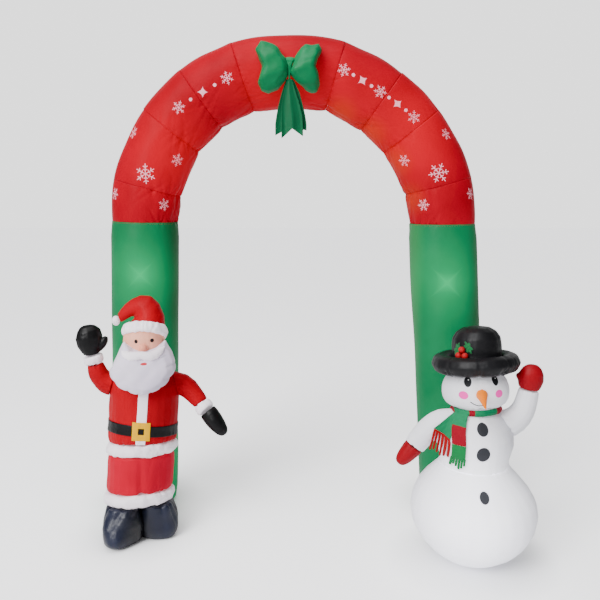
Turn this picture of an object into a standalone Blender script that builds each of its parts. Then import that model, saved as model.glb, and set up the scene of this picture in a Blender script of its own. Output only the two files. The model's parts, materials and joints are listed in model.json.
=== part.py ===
"""Inflatable holiday archway, 2.4 m high, blown up and standing on the ground.

Two green tube legs carry a red arch of nine sewn panels with a puffed bow on its crown.
A bearded gift-giver leans on the left leg and a snowman stands at the right one.
Lengths are in metres and angles in degrees. +Z is up and the front faces -Y.
"""
import math
from collections import namedtuple

import bmesh
import bpy
from mathutils import Matrix, Vector

# ---------------------------------------------------------------- driving dimensions
GAP = 0.0003                 # air between two sewn pieces
ORIGIN = Vector((-0.0405, 0.3597, 0.0))   # arch centre, so the whole stands over its own origin
CLOTH = 0.002                # a single layer with its hem
TAU = 2 * math.pi

ARCH_RADIUS = 0.756          # centre line of the arched tube
ARCH_Z = 1.484               # centre of that circle above the ground
ARCH_X = -0.004
ARCH_SWAY = 0.008            # the blown-up arch is pushed a little off its circle
PANEL_FLAT = 0.34            # each panel runs this much straighter than the circle
TUBE_RADIUS = 0.173
JOINT_RADIUS = 0.165         # where the arch is sewn to a leg
SEAM_PINCH = 0.028           # how far a seam draws the tube in, as a share of its radius
TUBE_SIDES = 24
SEAM_ANGLES = (0.6, 15.0, 38.0, 54.0, 73.6, 108.5, 126.0, 142.0, 165.5, 178.6)
SEAM_PUSH = (0, 0, 0, 0, 0.007, 0, 0, 0, 0, 0)   # how far each seam stands outside the circle

LEG_SIDES = 24
LEG_FOOT_X = {"left": -0.8005, "right": 0.8640}
# height as a share of the leg, radius
LEG_PROFILE = (
    (0.0000, 0.128), (0.0045, 0.149), (0.0160, 0.161), (0.0500, 0.1675), (0.2000, 0.169),
    (0.5000, 0.169), (0.8200, 0.171), (0.9500, 0.1705), (1.0000, JOINT_RADIUS),
)

MAN_PLACE = Vector((-0.745, -0.329, 0.0))
MAN_TURN = 12.0              # the figure looks towards the walkway
MAN_LEAN = Vector((0.085, 0.030, 0.0))  # sideways and back, for each metre of height
MAN_LEAN_TOP = 0.75          # the figure stands straight above this height
MAN_START = Vector((-0.024, -0.020, 0.0))
MAN_SIDES = 26
STRIP_LIFT = 0.0010          # sewn strips clear the flats between the jacket's points
FRONT_LINE = -92.5           # where the front strip and the buckle sit round the jacket

SNOW_PLACE = Vector((0.812, -0.600, 0.0))
SNOW_TURN = -4.0
SNOW_SIDES = 28
NECK_Z = 0.714
HEAD_SHIFT = 0.004           # the head sits a little to the walkway's far side
HEAD_LEAN = (-5.0, -3.0)     # back, and towards the raised arm

Section = namedtuple("Section", "z radius tilt roll")
PathPoint = namedtuple("PathPoint", "x y z radius")
Paddle = namedtuple("Paddle", "along shift wide thick")

RED, GREEN, WHITE, BLACK, SKIN, GOLD, ORANGE, PINK_RED = (
    "red_cloth", "green_cloth", "white_cloth", "black_cloth", "skin_cloth", "gold_cloth",
    "orange_cloth", "scarf_red_cloth")
COLOURS = {                  # linear red, green, blue and roughness
    RED: (0.62, 0.015, 0.02, 0.42), GREEN: (0.03, 0.27, 0.11, 0.42),
    WHITE: (0.85, 0.84, 0.87, 0.50), BLACK: (0.012, 0.012, 0.016, 0.38),
    SKIN: (0.80, 0.50, 0.33, 0.50), GOLD: (0.80, 0.52, 0.08, 0.45),
    ORANGE: (0.80, 0.27, 0.03, 0.45), PINK_RED: (0.50, 0.012, 0.035, 0.50),
}


# ---------------------------------------------------------------- scene and materials
def clear_scene():
    for thing in list(bpy.data.objects):
        bpy.data.objects.remove(thing, do_unlink=True)


def new_collection(name):
    made = bpy.data.collections.new(name)
    bpy.context.scene.collection.children.link(made)
    return made


def cloth(name):
    found = bpy.data.materials.get(name)
    if found:
        return found
    made = bpy.data.materials.new(name)
    made.use_nodes = True
    red, green, blue, rough = COLOURS[name]
    shader = made.node_tree.nodes["Principled BSDF"]
    shader.inputs["Base Color"].default_value = (red, green, blue, 1.0)
    shader.inputs["Roughness"].default_value = rough
    shader.inputs["Metallic"].default_value = 0.0
    made.diffuse_color = (red, green, blue, 1.0)
    return made


def empty(name, parent, place=(0, 0, 0), turn=(0, 0, 0)):
    made = bpy.data.objects.new(name, None)
    PARTS.objects.link(made)
    made.parent = parent
    made.location = place
    made.rotation_euler = [math.radians(a) for a in turn]
    return made


def add_object(name, mesh, material, parent, collection=None):
    made = bpy.data.objects.new(name, mesh)
    (collection or PARTS).objects.link(made)
    made.parent = parent
    mesh.materials.clear()
    mesh.materials.append(cloth(material))
    return made


def twisted(face):
    """Whether a face's corners leave one plane by more than a hundredth of a millimetre."""
    first = face.verts[0].co
    return any(abs((v.co - first).dot(face.normal)) > 1e-5 for v in face.verts)


def finish_mesh(name, shape, sharp=50):
    """Turn a bmesh into a mesh with its faces pointing out and round parts smooth.

    Twisted faces are split into triangles, so that they bend alike here and in a cutter.
    """
    bmesh.ops.recalc_face_normals(shape, faces=shape.faces)
    bmesh.ops.triangulate(shape, faces=[face for face in shape.faces if twisted(face)])
    mesh = bpy.data.meshes.new(name)
    shape.to_mesh(mesh)
    shape.free()
    mesh.shade_smooth()
    mesh.set_sharp_from_angle(angle=math.radians(sharp))
    return mesh


# ---------------------------------------------------------------- shapes
def ring(centre, turn, wide, deep, sides, power=2.0):
    """Points of a round or squarish section, laid in the plane that the turn gives."""
    points = []
    for k in range(sides):
        angle = TAU * k / sides
        c, s = math.cos(angle), math.sin(angle)
        x = math.copysign(abs(c) ** (2 / power), c) * wide
        y = math.copysign(abs(s) ** (2 / power), s) * deep
        points.append(centre + turn @ Vector((x, y, 0)))
    return points


def tilt_turn(front_up, right_up=0.0):
    """Turn a level section so that its front, and its side towards +X, stand higher."""
    return (Matrix.Rotation(math.radians(-front_up), 3, "X")
            @ Matrix.Rotation(math.radians(-right_up), 3, "Y"))


def loft(name, rings, material, parent, collection=None):
    """Skin a closed body over sections of equal point count, with flat ends."""
    shape = bmesh.new()
    rows = [[shape.verts.new(p) for p in points] for points in rings]
    sides = len(rows[0])
    for low, high in zip(rows, rows[1:]):
        for k in range(sides):
            n = (k + 1) % sides
            shape.faces.new((low[k], low[n], high[n], high[k]))
    shape.faces.new(list(reversed(rows[0])))
    shape.faces.new(rows[-1])
    return add_object(name, finish_mesh(name, shape), material, parent, collection)


def band(name, inner, outer, material, parent):
    """A closed hoop between matching inner and outer sections."""
    shape = bmesh.new()
    loops = [[shape.verts.new(p) for p in points] for points in outer + inner[::-1]]
    sides = len(loops[0])
    for a, b in zip(loops, loops[1:] + loops[:1]):
        for k in range(sides):
            n = (k + 1) % sides
            shape.faces.new((a[k], a[n], b[n], b[k]))
    return add_object(name, finish_mesh(name, shape), material, parent)


def hoop(name, major, half_wide, half_high, material, parent, place, turn=(0, 0, 0),
         sides=(24, 8)):
    """A padded ring: a torus primitive with its section made taller than it is wide."""
    bpy.ops.mesh.primitive_torus_add(major_radius=major, minor_radius=half_wide,
                                     major_segments=sides[0], minor_segments=sides[1])
    made = bpy.context.object
    made.name = made.data.name = name
    made.data.transform(Matrix.Diagonal((1, 1, half_high / half_wide, 1)))
    return adopt(made, material, parent, place, turn)


def ball(name, radii, material, parent, place, turn=(0, 0, 0), sides=(12, 8)):
    bpy.ops.mesh.primitive_uv_sphere_add(segments=sides[0], ring_count=sides[1], radius=1)
    made = bpy.context.object
    made.name = made.data.name = name
    made.data.transform(Matrix.Diagonal((*radii, 1)))
    return adopt(made, material, parent, place, turn)


def adopt(made, material, parent, place, turn):
    """Move a primitive into the model's collection and under its parent."""
    for holder in list(made.users_collection):
        holder.objects.unlink(made)
    PARTS.objects.link(made)
    made.parent = parent
    made.location = place
    made.rotation_euler = [math.radians(a) for a in turn]
    made.data.materials.clear()
    made.data.materials.append(cloth(material))
    made.data.shade_smooth()
    return made


def smooth_path(points, pieces):
    """Read a smooth curve through the path's points, the given pieces to each stretch."""
    last = len(points) - 1
    made = []
    for k in range(last):
        p0, p1, p2, p3 = (Vector(points[i]) for i in
                          (max(k - 1, 0), k, k + 1, min(k + 2, last)))
        for step in range(pieces):
            t = step / pieces
            made.append(0.5 * ((2 * p1) + (p2 - p0) * t + (2 * p0 - 5 * p1 + 4 * p2 - p3) * t * t
                               + (3 * p1 - 3 * p2 + p3 - p0) * t ** 3))
    made.append(Vector(points[last]))
    return made


def tube(name, points, material, parent, pieces=2, side_steps=5, collection=None):
    """A blown-up tube along a path whose rows are PathPoint."""
    line = smooth_path(points, pieces)
    curve = bpy.data.curves.new(name, "CURVE")
    curve.dimensions = "3D"
    curve.bevel_depth = 1.0
    curve.bevel_resolution = side_steps
    curve.use_fill_caps = True
    spline = curve.splines.new("POLY")
    spline.points.add(len(line) - 1)
    for point, row in zip(spline.points, line):
        point.co = (row[0], row[1], row[2], 1.0)
        point.radius = row[3]
    holder = bpy.data.objects.new(name + "_path", curve)
    PARTS.objects.link(holder)
    view = bpy.context.evaluated_depsgraph_get()
    mesh = bpy.data.meshes.new_from_object(holder.evaluated_get(view))
    bpy.data.objects.remove(holder)
    shape = bmesh.new()
    shape.from_mesh(mesh)
    bpy.data.meshes.remove(mesh)
    bmesh.ops.remove_doubles(shape, verts=shape.verts, dist=1e-6)
    return add_object(name, finish_mesh(name, shape), material, parent, collection)


def puffed(name, outline, centre, plane_y, thick, material, parent, sag=0.0, slope=0.0):
    """Two equal pieces of cloth sewn round their edge and blown up.

    The outline's columns are x and z. Its copies shrink towards the centre as they stand
    off from the seam. The whole hangs back by the sag at its top and bottom, and the slope
    is how far its plane falls back for each metre of height.
    """
    levels = ((-1.0, 0.36), (-0.86, 0.70), (-0.50, 0.92), (0.0, 1.0),
              (0.50, 0.92), (0.86, 0.70), (1.0, 0.36))
    middle = Vector((centre[0], centre[1]))
    tall = max(abs(z - centre[1]) for _, z in outline)
    rings = []
    for level, share in levels:
        points = []
        for x, z in outline:
            at = middle + (Vector((x, z)) - middle) * share
            hang = sag * ((at.y - middle.y) / tall) ** 2 + slope * (at.y - middle.y)
            points.append(Vector((at.x, plane_y + level * thick / 2 + hang, at.y)))
        rings.append(points)
    return loft(name, rings, material, parent)


def sheet(name, rows, material, parent, thick=CLOTH):
    """A thin sheet on rows of points, with Solidify giving its thickness behind them."""
    shape = bmesh.new()
    grid = [[shape.verts.new(p) for p in row] for row in rows]
    for low, high in zip(grid, grid[1:]):
        for k in range(len(low) - 1):
            shape.faces.new((low[k], low[k + 1], high[k + 1], high[k]))
    mesh = bpy.data.meshes.new(name)
    shape.to_mesh(mesh)
    shape.free()
    made = add_object(name, mesh, material, parent)
    wall = made.modifiers.new("thickness", "SOLIDIFY")
    wall.thickness = thick
    wall.offset = 0.0
    return made


# ---------------------------------------------------------------- joining and seating
def seat(piece, *carriers, reach=GAP):
    """Cut a piece back by what it is sewn to, leaving the gap between the two."""
    for carrier in carriers:
        copy = bpy.data.objects.new(piece.name + "_seat_on_" + carrier.name, carrier.data)
        CUTTERS.objects.link(copy)
        copy.parent = carrier.parent
        copy.location = carrier.location
        copy.rotation_euler = carrier.rotation_euler
        copy.hide_render = True
        copy.display_type = "WIRE"
        for source in carrier.modifiers:
            if source.type == "BOOLEAN":
                twin = copy.modifiers.new(source.name, "BOOLEAN")
                twin.object = source.object
                twin.operation = source.operation
        swell = copy.modifiers.new("gap", "DISPLACE")
        swell.strength = reach
        swell.mid_level = 0.0
        cut = piece.modifiers.new("seat_" + carrier.name, "BOOLEAN")
        cut.object = copy
        cut.operation = "DIFFERENCE"


def join(piece, other):
    """Sew another shape into a piece, as one body."""
    for holder in list(other.users_collection):
        holder.objects.unlink(other)
    CUTTERS.objects.link(other)
    other.hide_render = True
    other.display_type = "WIRE"
    union = piece.modifiers.new("join_" + other.name, "BOOLEAN")
    union.object = other
    union.operation = "UNION"


# ---------------------------------------------------------------- arch
def arch_point(angle):
    """Centre, outward direction and tube radius of the arch at an angle in degrees."""
    a = math.radians(angle)
    for k, (first, last) in enumerate(zip(SEAM_ANGLES, SEAM_ANGLES[1:])):
        if first <= angle <= last:
            half = math.radians(last - first) / 2
            off = a - math.radians(first + last) / 2
            push = SEAM_PUSH[k] + (SEAM_PUSH[k + 1] - SEAM_PUSH[k]) * (angle - first) / (last - first)
    straight = math.cos(half) / math.cos(off)
    reach = ARCH_RADIUS + push + ARCH_SWAY * math.cos(3 * a)
    reach *= 1.0 - PANEL_FLAT * (1.0 - straight)
    out = Vector((math.cos(a), 0, math.sin(a)))
    centre = Vector((ARCH_X, 0, ARCH_Z)) + out * reach
    from_end = min(angle - SEAM_ANGLES[0], SEAM_ANGLES[-1] - angle)
    grown = min(1.0, max(0.0, from_end / 14.0))
    return centre, out, JOINT_RADIUS + (TUBE_RADIUS - JOINT_RADIUS) * math.sin(grown * math.pi / 2)


def arch_ring(angle, puff, grow=0.0, shift=0.0):
    centre, out, radius = arch_point(angle)
    along = Vector((-out.z, 0, out.x))
    radius = radius * puff + grow
    points = []
    for k in range(TUBE_SIDES):
        a = TAU * k / TUBE_SIDES
        points.append(centre + along * shift + out * (radius * math.cos(a))
                      + Vector((0, radius * math.sin(a), 0)))
    return points


def panel_shape(span):
    """How full a panel is along its length, in rows of share and puff: thin at its seams."""
    seam = 1.0 - SEAM_PINCH
    inner = max(1, round(span / 13.0))
    rows = [(0.0, seam), (0.08, 0.988)]
    for k in range(inner):
        rows.append((0.08 + 0.84 * (k + 1) / (inner + 1), 1.004))
    return rows + [(0.92, 0.988), (1.0, seam)]


def build_arch(root):
    """Nine panels, each drawn in at its seams and full between them."""
    panels = []
    for number, (first, last) in enumerate(zip(SEAM_ANGLES, SEAM_ANGLES[1:]), 1):
        rings = []
        for share, puff in panel_shape(last - first):
            end_shift = {0.0: GAP / 2, 1.0: -GAP / 2}.get(share, 0.0)
            angle = first + (last - first) * share
            if angle in (SEAM_ANGLES[0], SEAM_ANGLES[-1]):
                puff = 1.0
            rings.append(arch_ring(angle, puff, shift=end_shift))
        panels.append(loft(f"arch_panel_{number}", rings, RED, root))
    return panels


def build_leg(side, root):
    """A straight tube from its flat foot up to the arch's end plane."""
    end_angle = SEAM_ANGLES[0] if side == "right" else SEAM_ANGLES[-1]
    top, out, _ = arch_point(end_angle)
    foot = Vector((LEG_FOOT_X[side], 0, 0))
    down = 1.0 if side == "right" else -1.0
    rings = []
    for share, radius in LEG_PROFILE:
        centre = foot.lerp(top, share)
        # the last few sections turn from level into the arch's end plane
        blend = min(1.0, max(0.0, (share - 0.82) / 0.18))
        slope = blend * math.atan2(out.z * down, out.x * down)
        turn = Matrix.Rotation(-slope, 3, "Y")
        if share == 1.0:
            centre = centre - Vector((-out.z, 0, out.x)) * GAP / 2 * down
        rings.append(ring(centre, turn, radius, radius, LEG_SIDES))
    return loft(f"leg_{side}", rings, GREEN, root)


# ---------------------------------------------------------------- bow
BOW_Y = -0.196
BOW_THICK = 0.120
# x, z round each loop, from the top of the knot outwards
BOW_LEFT = (
    (-0.024, 2.262), (-0.039, 2.281), (-0.063, 2.312), (-0.090, 2.334), (-0.122, 2.345),
    (-0.150, 2.349), (-0.172, 2.306), (-0.155, 2.262), (-0.142, 2.228), (-0.151, 2.188),
    (-0.164, 2.152), (-0.150, 2.116), (-0.112, 2.103), (-0.068, 2.122), (-0.038, 2.160),
    (-0.024, 2.190),
)
BOW_RIGHT = (
    (0.010, 2.190), (0.034, 2.152), (0.060, 2.122), (0.092, 2.110), (0.114, 2.112),
    (0.133, 2.150), (0.122, 2.192), (0.112, 2.228), (0.124, 2.264), (0.137, 2.300),
    (0.126, 2.336), (0.090, 2.330), (0.062, 2.334), (0.040, 2.318), (0.022, 2.288),
    (0.008, 2.262),
)
BOW_KNOT = (
    (-0.034, 2.266), (-0.008, 2.270), (0.016, 2.266), (0.019, 2.240), (0.012, 2.205),
    (0.002, 2.172), (-0.014, 2.160), (-0.030, 2.172), (-0.036, 2.205), (-0.038, 2.240),
)
# z, left x, right x, y of the two ribbon tails at their edges
TAIL_BACK = ((2.178, -0.026, -0.002), (2.156, -0.034, 0.012), (2.110, -0.050, 0.034),
             (2.050, -0.066, 0.050), (2.005, -0.075, 0.061), (1.966, -0.081, 0.067))
TAIL_FRONT = ((2.178, -0.022, -0.006), (2.156, -0.027, 0.002), (2.110, -0.039, 0.016),
              (2.050, -0.050, 0.036), (2.000, -0.052, 0.047), (1.956, -0.051, 0.050))


def ribbon_tail(name, rows, plane_y, notch, corners, root):
    """A ribbon end that widens downwards in soft folds to a swallow-tail cut."""
    across = 6
    grid = []
    for number, (z, left, right) in enumerate(rows):
        row = []
        for k in range(across + 1):
            share = k / across
            fold = 0.010 * math.sin(share * math.pi * 3) * number / (len(rows) - 1)
            row.append(Vector((left + (right - left) * share, plane_y + fold, z)))
        grid.append(row)
    tips = []
    for k, point in enumerate(grid[-1]):
        share = k / across
        if share <= 0.5:
            drop = corners[0] + (notch - corners[0]) * share * 2
        else:
            drop = notch + (corners[1] - notch) * (share - 0.5) * 2
        tips.append(Vector((point.x, point.y, drop)))
    grid.append(tips)
    return sheet(name, grid, GREEN, root)


def build_bow(root, crown):
    left = puffed("bow_loop_left", BOW_LEFT, (-0.098, 2.226), BOW_Y, BOW_THICK, GREEN, root,
                  sag=0.030)
    right = puffed("bow_loop_right", BOW_RIGHT, (0.072, 2.226), BOW_Y, BOW_THICK, GREEN, root,
                   sag=0.030)
    knot = puffed("bow_knot", BOW_KNOT, (-0.010, 2.218), BOW_Y - 0.010, 0.090, GREEN, root)
    seat(left, crown)
    seat(right, crown, left)
    seat(knot, crown, left, right)
    back = ribbon_tail("bow_tail_back", TAIL_BACK, -0.190, 1.955, (1.914, 1.937), root)
    front = ribbon_tail("bow_tail_front", TAIL_FRONT, -0.206, 1.944, (1.899, 1.909), root)
    seat(back, knot, left, right)
    seat(front, knot, left)


# ---------------------------------------------------------------- bearded figure
def man_axis(z):
    return MAN_START + MAN_LEAN * min(z, MAN_LEAN_TOP) + Vector((0, 0, z))


def body_rings(rows, sides, axis, grow=0.0, trim=True):
    rings = []
    for number, row in enumerate(rows):
        turn = tilt_turn(row.tilt, row.roll)
        up = turn @ Vector((0, 0, 1))
        ends = {0: GAP / 2, len(rows) - 1: -GAP / 2} if trim else {}
        centre = axis(row.z) + up * ends.get(number, 0.0)
        rings.append(ring(centre, turn, row.radius + grow, row.radius + grow, sides))
    return rings


TRIM_TILT = 10               # the lower trim is lifted at the front, over the boots
TROUSER_TRIM = (Section(0.155, 0.150, TRIM_TILT, 0), Section(0.164, 0.164, 10, 0),
                Section(0.188, 0.171, 10, 0), Section(0.212, 0.166, 9, 0),
                Section(0.222, 0.153, 9, 0))
TROUSERS = (Section(0.222, 0.153, 9, 0), Section(0.240, 0.159, 9, 0),
            Section(0.300, 0.159, 9, -1), Section(0.360, 0.160, 9, -2),
            Section(0.393, 0.158, 9, -2), Section(0.403, 0.153, 9, -2))
JACKET_TRIM = (Section(0.403, 0.153, 9, -2), Section(0.411, 0.166, 9, 0),
               Section(0.432, 0.172, 9, 0), Section(0.453, 0.166, 9, 0),
               Section(0.463, 0.156, 9, -1))
JACKET = (Section(0.463, 0.156, 9, -1), Section(0.478, 0.163, 9, -4),
          Section(0.510, 0.165, 8, -7), Section(0.560, 0.164, 7, -7),
          Section(0.640, 0.164, 5, -6), Section(0.700, 0.164, 3, -4),
          Section(0.750, 0.158, 2, -3), Section(0.790, 0.140, 1, -3),
          Section(0.820, 0.110, 0, -3), Section(0.842, 0.074, 0, -3))
HEAD = (Section(0.842, 0.074, 0, -3), Section(0.870, 0.092, 2, -3),
        Section(0.905, 0.098, 8, -4), Section(0.950, 0.098, 16, -4),
        Section(0.994, 0.090, 26, -5))
BELT_Z = (0.508, 0.561)


def jacket_section(z):
    for low, high in zip(JACKET, JACKET[1:]):
        if low.z <= z <= high.z:
            share = (z - low.z) / (high.z - low.z)
            return Section(z, *(a + (b - a) * share for a, b in zip(low[1:], high[1:])))
    raise ValueError("height is off the jacket")


def jacket_patch(name, low, high, half_angle, lift, material, root, columns=4, window=False):
    """A sewn strip or plate that follows the jacket's front, centred on its middle line.

    It bends at the jacket's own sections. A window leaves out the middle third each way.
    """
    thirds = [low + (high - low) * k / 3 for k in range(4)] if window else [low, high]
    heights = sorted(thirds + [row.z for row in JACKET if low < row.z < high])
    shape = bmesh.new()
    grid = []
    for z in heights:
        at = jacket_section(z)
        centre, turn = man_axis(z), tilt_turn(at.tilt, at.roll)
        reach = (at.radius + lift) / math.cos(math.radians(half_angle / columns))
        row = []
        for k in range(columns + 1):
            angle = math.radians(FRONT_LINE - half_angle + 2 * half_angle * k / columns)
            row.append(shape.verts.new(centre + turn @ Vector((reach * math.cos(angle),
                                                               reach * math.sin(angle), 0))))
        grid.append(row)
    for j, (a, b) in enumerate(zip(grid, grid[1:])):
        middle = (heights[j] + heights[j + 1]) / 2
        for k in range(columns):
            across = abs(k + 0.5 - columns / 2) < columns / 6
            if window and across and thirds[1] < middle < thirds[2]:
                continue
            shape.faces.new((a[k], a[k + 1], b[k + 1], b[k]))
    mesh = bpy.data.meshes.new(name)
    shape.to_mesh(mesh)
    shape.free()
    made = add_object(name, mesh, material, root)
    wall = made.modifiers.new("thickness", "SOLIDIFY")
    wall.thickness = CLOTH
    wall.offset = 1.0
    return made


Boot = namedtuple("Boot", "z x y wide deep")
BOOTS = {
    "left": (Boot(0.000, -0.080, -0.048, 0.088, 0.130), Boot(0.010, -0.080, -0.050, 0.096, 0.148),
             Boot(0.035, -0.081, -0.052, 0.101, 0.160), Boot(0.075, -0.081, -0.044, 0.101, 0.158),
             Boot(0.115, -0.080, -0.028, 0.096, 0.149), Boot(0.1548, -0.080, -0.014, 0.086, 0.140)),
    "right": (Boot(0.000, 0.072, -0.024, 0.080, 0.110), Boot(0.010, 0.076, -0.024, 0.089, 0.124),
              Boot(0.035, 0.078, -0.024, 0.094, 0.133), Boot(0.075, 0.078, -0.020, 0.094, 0.134),
              Boot(0.115, 0.076, -0.018, 0.089, 0.136), Boot(0.1548, 0.070, -0.014, 0.078, 0.138)),
}
BOOT_TOE_OUT = {"left": -6.0, "right": 8.0}
BOOT_SQUARE = 2.9            # 2 is an oval, more is squarer
BOOT_PARTING = -0.004        # the plane where the two boots are sewn side by side


def build_boot(side, root):
    """One boot, fullest low down, pressed flat against the other and against the trim."""
    rows = BOOTS[side]
    rings = []
    for number, row in enumerate(rows):
        share = number / (len(rows) - 1)
        turn = Matrix.Rotation(math.radians(BOOT_TOE_OUT[side] * (1 - share)), 3, "Z")
        shaped = []
        for p in ring(Vector((row.x, row.y, row.z)), turn, row.wide, row.deep, 24, power=BOOT_SQUARE):
            if side == "left":
                x = min(p.x, BOOT_PARTING - GAP / 2)
            else:
                x = max(p.x, BOOT_PARTING + GAP / 2)
            lift = (man_axis(row.z).y - p.y) * math.tan(math.radians(TRIM_TILT)) * share
            shaped.append(Vector((x, p.y, p.z + lift)))
        rings.append(shaped)
    return loft(f"man_boot_{side}", rings, BLACK, root)


RAISED_SLEEVE = (PathPoint(-0.086, 0.010, 0.737, 0.060), PathPoint(-0.124, 0.010, 0.746, 0.056),
                 PathPoint(-0.158, 0.010, 0.770, 0.050), PathPoint(-0.180, 0.009, 0.806, 0.046),
                 PathPoint(-0.1905, 0.008, 0.848, 0.039))
LOWERED_SLEEVE = (PathPoint(0.130, 0.002, 0.742, 0.060), PathPoint(0.215, -0.034, 0.733, 0.054),
                  PathPoint(0.264, -0.064, 0.693, 0.046), PathPoint(0.2964, -0.0886, 0.6517, 0.038))
BEARD = (
    (-0.053, 0.966), (-0.079, 0.915), (-0.110, 0.868), (-0.120, 0.845), (-0.116, 0.818),
    (-0.102, 0.795), (-0.078, 0.771), (-0.047, 0.755), (0.000, 0.738), (0.031, 0.732),
    (0.060, 0.738), (0.114, 0.757), (0.140, 0.774), (0.158, 0.796), (0.180, 0.830),
    (0.185, 0.862), (0.169, 0.908), (0.140, 0.966), (0.095, 0.934), (0.038, 0.922),
    (-0.015, 0.934),
)
MOUSTACHE = (PathPoint(-0.062, -0.096, 0.932, 0.005), PathPoint(-0.042, -0.126, 0.917, 0.019),
             PathPoint(-0.014, -0.148, 0.907, 0.025), PathPoint(0.028, -0.158, 0.917, 0.018),
             PathPoint(0.070, -0.154, 0.907, 0.025), PathPoint(0.106, -0.138, 0.920, 0.021),
             PathPoint(0.132, -0.112, 0.942, 0.005))
NOSE_RADIUS = 0.019
NOSE_PLACE = Vector((0.036, -0.106, 0.937))
# centre of each section of the hat, its radius and the way it leans towards the droop
HatRing = namedtuple("HatRing", "x y z radius lean")
HAT = (HatRing(0.0440, 0.002, 0.988, 0.0890, 2), HatRing(0.0530, 0.004, 1.026, 0.0850, 3),
       HatRing(0.0620, 0.008, 1.058, 0.0760, 9), HatRing(0.0570, 0.014, 1.091, 0.0690, 28),
       HatRing(0.0400, 0.020, 1.112, 0.0610, 50), HatRing(0.0130, 0.026, 1.117, 0.0520, 72),
       HatRing(-0.0130, 0.030, 1.106, 0.0435, 86), HatRing(-0.0370, 0.032, 1.089, 0.0350, 98),
       HatRing(-0.0580, 0.032, 1.072, 0.0275, 106), HatRing(-0.0720, 0.032, 1.058, 0.0215, 112))
POMPOM_PLACE = Vector((-0.088, 0.030, 1.046))


def hat_rings():
    """A stocking cap that rises from the band, bends over and hangs to one side."""
    rings = []
    for number, row in enumerate(HAT):
        settle = max(0.0, 1.0 - number / 3)
        turn = (Matrix.Rotation(math.radians(-row.lean), 3, "Y")
                @ tilt_turn(HEAD[-1].tilt * settle, HEAD[-1].roll * settle))
        centre = Vector((row.x, row.y, row.z))
        if number == 0:
            centre = man_axis(HEAD[-1].z) + turn @ Vector((0, 0, GAP))
        rings.append(ring(centre, turn, row.radius, row.radius * 0.96, 24))
    return rings


def frame_along(start, end, palm=Vector((0, 1, 0))):
    """A turn whose Z runs from start to end, with Y kept near the palm's direction."""
    z = (end - start).normalized()
    x = palm.cross(z).normalized()
    y = z.cross(x)
    return Matrix((x, y, z)).transposed()


def cuff(name, start, end, radii, material, root):
    turn = frame_along(start, end)
    way = (end - start).normalized()
    places = (start + way * GAP, start.lerp(end, 0.2), start.lerp(end, 0.5),
              start.lerp(end, 0.8), end)
    rings = [ring(p, turn, r, r, 18) for p, r in zip(places, radii)]
    return loft(name, rings, material, root)


def mitten(name, start, end, rows, material, root, thumb=None):
    """A puffed paddle for the hand, with its thumb sewn in where one shows."""
    turn = frame_along(start, end)
    long = (end - start).length
    across = turn @ Vector((1, 0, 0))
    rings = [ring(start.lerp(end, row.along) + across * row.shift * long
                  + (end - start).normalized() * (GAP if row.along == 0 else 0.0),
                  turn, row.wide, row.thick, 16) for row in rows]
    made = loft(name, rings, material, root)
    if thumb:
        join(made, tube(name + "_thumb", thumb, material, root, pieces=2, side_steps=3))
    return made


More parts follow.
